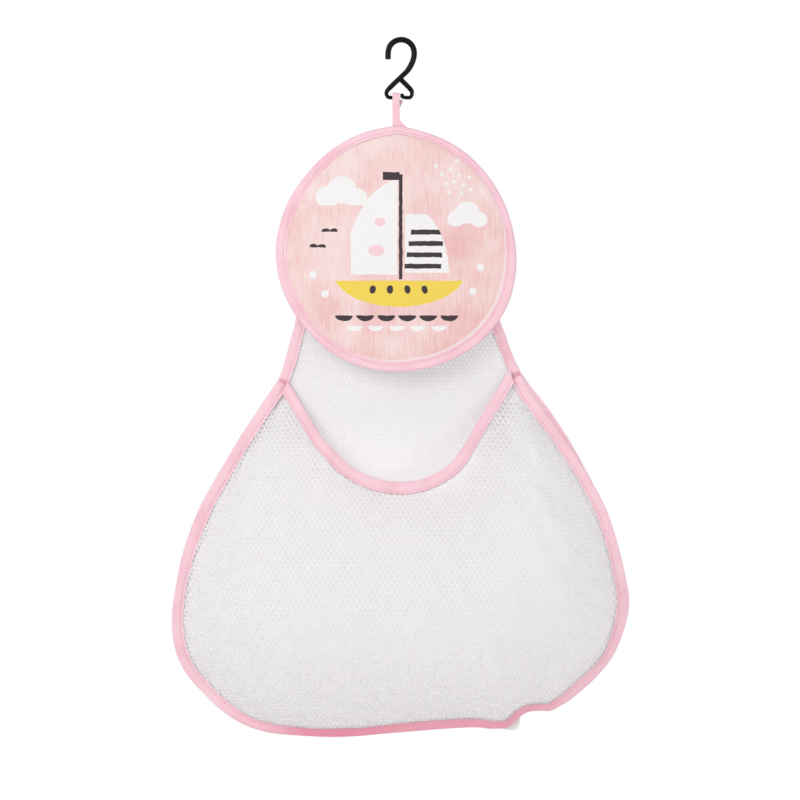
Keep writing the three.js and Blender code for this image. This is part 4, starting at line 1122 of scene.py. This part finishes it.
# The painted shade is kept at each point of the tape.
bottom_shade_layer = pocket_binding.data.attributes.new("painted bottom shade", "FLOAT", "POINT")
shade_along = np.repeat(np.interp(shares, *np.transpose(BOTTOM_PAINTED_SHADE)), len(bottom_shade_layer.data) // len(shares))
bottom_shade_layer.data.foreach_set("value", shade_along.astype(np.float32))

# Cloth end: a small corner of thin white cloth, sewn in with the rear of the tape at the kink,
# that hangs out below it. Its free edge bows down to a blunt corner and curls forward a little.
CLOTH_END_ROOT = ((84.5, -574.0), (97.5, -565.2))
CLOTH_END_EDGE = ((84.0, -579.0), (101.4, -568.6))
CLOTH_END_CORNER = (5.0, -6.4)
CLOTH_END_BACK = 19.2
CLOTH_END_CURL = 0.9

u = np.linspace(0, 1, 15)[:, None, None]
v = np.linspace(0, 1, 9)[None, :, None]
root, free = (np.array(ends[0]) + (np.array(ends[1]) - np.array(ends[0])) * u
              for ends in (CLOTH_END_ROOT, CLOTH_END_EDGE))
free = free + np.array(CLOTH_END_CORNER) * (1 - np.abs(2 * u - 1) ** 1.6)
flat = root * (1 - v) + free * v
curl = CLOTH_END_BACK - CLOTH_END_CURL * v[..., 0] ** 2 * np.sin(math.pi * u[..., 0])
cloth_end = solid("cloth_end_behind_tape", np.stack([flat[..., 0], curl, flat[..., 1]], -1),
                  grid_faces(15, 9), way=(0, -1, 0))
thickened(cloth_end, 0.3)
fit(cloth_end, white_cloth, "pocket", "white_cloth")

# Mouth binding: the same tape, folded over the front net's top edge and stitched through. The
# edge is an open curve that stands off the back net and leans out, and the tape's ends lie over
# the pocket's tape.
MOUTH_TOP = 1.2  # how far below the shoulders it starts
MOUTH_DROP = 86  # about how far it hangs down from there
MOUTH_TAPE_WIDTH = 9
MOUTH_WIDENING = 2.2  # how much wider the tape is in its middle
MOUTH_WAVES = 0.45
MOUTH_OPENING = 30  # how far its middle stands in front of its ends
MOUTH_TILT = 24  # degrees that its middle leans out
MOUTH_POWER = 1.5
MOUTH_ENDS = -3.65  # the depth of its ends, so that the tape lies just in front of the pocket's
MOUTH_FACE = 1.3  # half the thickness of the folded tape
MOUTH_RUN_ON = (5.0, 11.5)  # how far the tape runs over the pocket's tape at each end
MOUTH_SLANT = (0.6, 0.8)  # how far each end is cut back per millimetre in from the edge
SLANT_RUN = 22  # how far along from an end the slant dies out
MOUTH_SHARES = (
    (-0.482, 0.057), (-0.414, 0.305), (-0.34, 0.562), (-0.266, 0.737), (-0.205, 0.847),
    (-0.112, 0.948), (-0.013, 0.981), (0.099, 0.949), (0.203, 0.816), (0.265, 0.648),
    (0.337, 0.384), (0.441, 0.008))  # in shares of the pocket's half width and the drop

mouth_follow, mouth_length, _ = curve_through(
    [(a * POCKET_HALF_WIDTH, -NECK_LENGTH - MOUTH_TOP - d * MOUTH_DROP) for a, d in MOUTH_SHARES])


def mouth_line(shares):
    """Stations along the mouth: its flat curve, run on straight past its ends and pushed forward
    by a power of the sine of its share, with the way in tilted out by the sine and kept square
    to the edge."""
    kept = np.clip(shares, 0, 1)
    beyond = (np.asarray(shares, float) - kept)[:, None] * mouth_length
    shares = kept
    swell = np.sin(math.pi * shares)
    flat, way = mouth_follow(shares)
    flat = flat + way * beyond
    along = in_space(way)
    tilt = np.radians(MOUTH_TILT) * swell[:, None]
    backwards = np.array([0.0, 1.0, 0.0])
    inward = in_space(np.stack([way[:, 1], -way[:, 0]], -1))
    inward = inward * np.cos(tilt) - backwards * np.sin(tilt)
    points = in_space(flat) + backwards * (MOUTH_ENDS - MOUTH_OPENING * swell**MOUTH_POWER)[:, None]
    slope = -MOUTH_OPENING * math.pi * np.cos(math.pi * shares) * MOUTH_POWER * (
        swell ** (MOUTH_POWER - 1))
    run = along + backwards * (slope / mouth_length)[:, None]
    run /= np.linalg.norm(run, axis=1, keepdims=True)
    inward = inward - (inward * run).sum(1, keepdims=True) * run
    inward /= np.linalg.norm(inward, axis=1, keepdims=True)
    return points, inward, np.cross(run, inward)


shares = np.linspace(-MOUTH_RUN_ON[0] / mouth_length, 1 + MOUTH_RUN_ON[1] / mouth_length, 200)
points, inward, rear = mouth_line(shares)
run = (shares - shares[0]) * mouth_length
slant = MOUTH_SLANT[0] * (1 - eased(run, 0, SLANT_RUN)) - MOUTH_SLANT[1] * eased(
    run, run[-1] - SLANT_RUN, run[-1])
inward = inward + slant[:, None] * np.gradient(points, run, axis=0)
widths = MOUTH_TAPE_WIDTH + MOUTH_WIDENING * np.sin(math.pi * np.clip(shares, 0, 1)) ** 2
widths += MOUTH_WAVES * ripple(run, run[-1], 10, 91)
mouth_binding, mouth_stitches = sewn_tape(
    "mouth_binding_tape", "mouth_stitches", (points, inward, rear), widths,
    (-MOUTH_FACE, MOUTH_FACE), run, 101, "mouth_binding", "mouth_seam_thread")

# Front net: a more open net, cut fuller than the back. It runs flat out of the pocket's tape,
# swells over what the bag holds, and runs flat into the mouth's tape. Its holes are six-sided,
# 4.7 mm apart along a row, with rows 3.95 mm apart.
FRONT_HOLES = {"pitch": 4.7, "row": 3.95, "knot": 1.2, "side": (1.72, 0.86), "top": 2.08}
STRAND_HALF = 0.28  # half the thickness of a strand
FRONT_NET_DEPTH = -1.15
SEAM_LIFT = 58  # degrees: how steeply it rises off the tape
# How strongly each edge's direction pulls the swell, as a share of the way across, and how many
# times these pulls are evened out along it.
SEAM_FULLNESS, SEAM_EVENING = 0.6, 60
MOUTH_FULLNESS, MOUTH_EVENING = 0.42, 10
HEM_ROWS = np.array([0.9, 3, 5, 7, 9, 11.4])
MOUTH_HEM_ROWS = np.array([12.4, 10, 8, 6, 4, 2, 0.9])
FOLD_HEIGHT, PUCKER_HEIGHT = 1.5, 0.7
SWELL_ROWS = 54
NET_COLUMNS = 181

shares = np.linspace(left_shoulder, right_shoulder, NET_COLUMNS + 8)[4:-4]
mouth_shares = (shares - left_shoulder) / (right_shoulder - left_shoulder)
low_point, low_in, low_rear = edge_line(shares)
low_point = low_point + low_in * np.interp(shares, *np.transpose(LEAF_SLIDES))[:, None]
high_point, high_in, _ = mouth_line(mouth_shares)
start = low_point + low_in * HEM_ROWS[-1] + low_rear * FRONT_NET_DEPTH
finish = high_point + high_in * MOUTH_HEM_ROWS[0]
reach = np.linalg.norm(finish - start, axis=1, keepdims=True)
lift = math.radians(SEAM_LIFT)
leave = low_in * (1, 0, 1) * math.cos(lift) - low_rear * math.sin(lift)


def evened(rows, turns):
    """Evens out neighbouring rows: each turn makes every row but the first and last a quarter of
    the row before, half itself and a quarter of the row after."""
    for _ in range(turns):
        rows = np.concatenate([rows[:1], (rows[:-2] + 2 * rows[1:-1] + rows[2:]) / 4, rows[-1:]])
    return rows


# The swell is the cubic that starts and finishes at the two tapes and is drawn towards two pulls.
pulls = (start, evened(start + leave * reach * SEAM_FULLNESS, SEAM_EVENING),
         evened(finish + high_in * reach * MOUTH_FULLNESS, MOUTH_EVENING), finish)
v = np.linspace(0, 1, SWELL_ROWS + 1)[None, :, None]
swell = sum(weight * pull[:, None] for weight, pull in zip(
    ((1 - v) ** 3, 3 * (1 - v) ** 2 * v, 3 * (1 - v) * v**2, v**3), pulls))
hem = (low_point[:, None] + low_in[:, None] * HEM_ROWS[None, :-1, None]
       + low_rear[:, None] * FRONT_NET_DEPTH)
mouth_hem = high_point[:, None] + high_in[:, None] * MOUTH_HEM_ROWS[None, 1:, None]
net_grid = np.concatenate([hem, swell, mouth_hem], 1)
# The bend where the net leaves the pocket's tape is rounded.
net_grid[:, 4:15] = evened(net_grid[:, 4:15].swapaxes(0, 1), 4).swapaxes(0, 1)


def facing(grid):
    """The way square to a surface at each point of its grid: the cross product of its slopes
    along the two directions of the grid, made one long."""
    out = np.cross(np.gradient(grid, axis=0), np.gradient(grid, axis=1))
    return out / np.linalg.norm(out, axis=-1, keepdims=True)


# Folds run up the net and across it where it is free of its edges, and small puckers stand where
# the pocket's tape gathers it. Both are uneven waves along the way out from the net.
net_run = np.linspace(0, 1, NET_COLUMNS)[:, None]
from_seam = np.linspace(0, 1, net_grid.shape[1])[None, :]
free = (eased(from_seam, 0.14, 0.34) * (1 - eased(from_seam, 0.72, 0.88))
        * eased(net_run, 0.02, 0.1) * (1 - eased(net_run, 0.9, 0.98)))
gather = eased(from_seam, 0.12, 0.2) * (1 - eased(from_seam, 0.25, 0.5))
folds = FOLD_HEIGHT * free * (ripple(net_run + 0.07 * from_seam, 1, 15, 111)
                              + 0.6 * ripple(from_seam + net_run, 2, 9, 112))
puckers = PUCKER_HEIGHT * gather * ripple(net_run, 1, 60, 113)
net_grid = net_grid + facing(net_grid) * (folds + puckers)[..., None]


def sampled(grid, at):
    """Values of a grid between its points, at places counted along its two directions."""
    u, v = np.clip(at, 0, np.array(grid.shape[:2]) - 1.001).T
    i, j = u.astype(int), v.astype(int)
    a, b = (u - i)[:, None], (v - j)[:, None]
    return ((1 - a) * (1 - b) * grid[i, j] + a * (1 - b) * grid[i + 1, j]
            + (1 - a) * b * grid[i, j + 1] + a * b * grid[i + 1, j + 1])


SOLVING_TURNS = 30


def solved(places_of, wanted, guess, step, limit):
    """The inputs for which a function gives the places wanted. Each turn steps by the error
    against the function's own slope there. Gives them and the error that is left."""
    at = guess.astype(float)
    for _ in range(SOLVING_TURNS):
        miss = wanted - places_of(at)
        du = (places_of(at + (step, 0)) - places_of(at - (step, 0))) / (2 * step)
        dv = (places_of(at + (0, step)) - places_of(at - (0, step))) / (2 * step)
        spin = du[:, 0] * dv[:, 1] - du[:, 1] * dv[:, 0]
        spin = np.where(np.abs(spin) < 1e-5, 1e-5, spin)
        move = np.stack([miss[:, 0] * dv[:, 1] - miss[:, 1] * dv[:, 0],
                         miss[:, 1] * du[:, 0] - miss[:, 0] * du[:, 1]], -1) / spin[:, None]
        at = np.clip(at + np.clip(move, -limit, limit), step, np.inf)
    return at, np.linalg.norm(wanted - places_of(at), axis=1)


net_grid = hung(net_grid)
net_out = facing(net_grid)
net_view = net_grid[..., [0, 2]]
SEED_STEPS = (3, 2)  # every third column and second row of the grid is tried for a first guess


def on_grid(view):
    """The columns and rows of the net's grid at places seen from the front, and the error."""
    seeds = net_view[:: SEED_STEPS[0], :: SEED_STEPS[1]]
    number = np.concatenate([((part[:, None] - seeds.reshape(1, -1, 2)) ** 2).sum(-1).argmin(1)
                             for part in np.array_split(view, max(1, len(view) // 4000))])
    guess = np.stack(np.divmod(number, seeds.shape[1]), -1) * SEED_STEPS
    guess = np.clip(guess, 1, np.array(net_view.shape[:2]) - 2)
    return solved(lambda at: sampled(net_view, at), view, guess, 0.3, 3.0)


# The net is laid out on its swell by how much longer its cloth is than it looks from the front:
# the excess of its length over its width or height, summed from the middle outwards.
FIELD_SIDES, FIELD_HEIGHTS, FIELD_STEP = (-204, 205), (-600, -268), 4.0
FIELD_MIDDLE = -450  # the height from which the cloth is measured up and down
EDGE_COLUMNS, EDGE_ROWS = 0.9, 1.7  # how far inside the grid's edges the net ends
CLOTH_ABOVE = 60  # how much more cloth is laid out above the seam's highest point

field_x = np.arange(*FIELD_SIDES, FIELD_STEP)
field_z = np.arange(*FIELD_HEIGHTS, FIELD_STEP)
field = np.stack(np.meshgrid(field_x, field_z, indexing="ij"), -1)
at, miss = on_grid(field.reshape(-1, 2))
covered = (miss < 0.5).reshape(field.shape[:2])
depth = sampled(net_grid[..., 1:2], at).reshape(field.shape[:2])


def excess(axis, middle):
    """The excess length along an axis of the field, from a middle line, smoothed five times with
    its neighbours on all sides."""
    slope = np.diff(depth, axis=axis) / FIELD_STEP
    whole = covered[1:] & covered[:-1] if axis == 0 else covered[:, 1:] & covered[:, :-1]
    gained = np.where(whole, np.sqrt(1 + np.clip(slope, -2, 2) ** 2) - 1, 0) * FIELD_STEP
    total = np.concatenate([np.zeros_like(gained.take([0], axis)), np.cumsum(gained, axis)], axis)
    total -= total.take([middle], axis)
    for _ in range(5):
        for side in (0, 1):
            held = np.pad(total, [(1, 1) if side == k else (0, 0) for k in (0, 1)], mode="edge")
            after = held.take(range(2, held.shape[side]), side)
            before = held.take(range(held.shape[side] - 2), side)
            total = (after + before + 2 * total) / 4
    return total


gained = np.stack([excess(0, len(field_x) // 2),
                   excess(1, int((FIELD_MIDDLE - field_z[0]) / FIELD_STEP))], -1)


def cloth_of(view):
    """Where places seen from the front lie on the flat cloth."""
    return view + sampled(gained, (view - (field_x[0], field_z[0])) / FIELD_STEP)


def view_of(cloth):
    """Where places of the flat cloth are seen from the front."""
    away = np.array([field_x[0], field_z[0]])
    return solved(lambda at: cloth_of(at + away), cloth, cloth - away, 0.5, 8.0)[0] + away


def on_front(cloth):
    """Whether places of the flat cloth lie on the front net, clear of its edge."""
    at, miss = on_grid(view_of(cloth.reshape(-1, 2)))
    margin = np.array([EDGE_COLUMNS, EDGE_ROWS])
    far = np.array(net_grid.shape[:2]) - 1 - margin
    lies = (miss < 0.1) & (at > margin).all(1) & (at < far).all(1)
    return lies.reshape(cloth.shape[:-1])


cloth_edge = cloth_of(net_view[:, 0])
flat_places, stand, net_faces = lattice(cloth_edge.min(0), cloth_edge.max(0) + (0, CLOTH_ABOVE),
                                        on_front, FRONT_HOLES)
at, _ = on_grid(view_of(flat_places))
front_net = net_from("front_net_mesh", flat_places, stand * STRAND_HALF, net_faces,
                     sampled(net_grid, at), sampled(net_out, at))
open_net = net_cloth("white knitted polyester net", "#FBF9FB", "#FFFEFF", 0.35)
fit(front_net, open_net, "pocket", "white_net", "front_net")

# Shoulder tacks: dense bars of stitches in the same thread across the pocket's tape, which hold
# the mouth's, the neck's and the pocket's tapes together where they meet.
SHOULDER_TACK_REACH = (1.8, 8.2)  # in from the tape's fold
SHOULDER_TACK_RISE = 0.05  # in front of the pocket's tape

for side, share in (("left", left_shoulder), ("right", right_shoulder)):
    point, inner, behind = edge_line(np.array([share]))
    offsets = np.linspace(*SHOULDER_TACK_REACH, TACK_STITCHES)[:, None]
    way = np.cross(inner, behind)
    spots = point + inner * offsets + behind * (POCKET_FACE - SHOULDER_TACK_RISE)
    tack = stitched("shoulder_bar_tack_" + side, hung(spots), np.tile(way, (TACK_STITCHES, 1)),
                    np.tile(-behind, (TACK_STITCHES, 1)), length=3.4, width=0.5, height=0.32)
    fit(tack, pink_thread, "pocket", "pink_thread", "shoulder_tack_" + side)
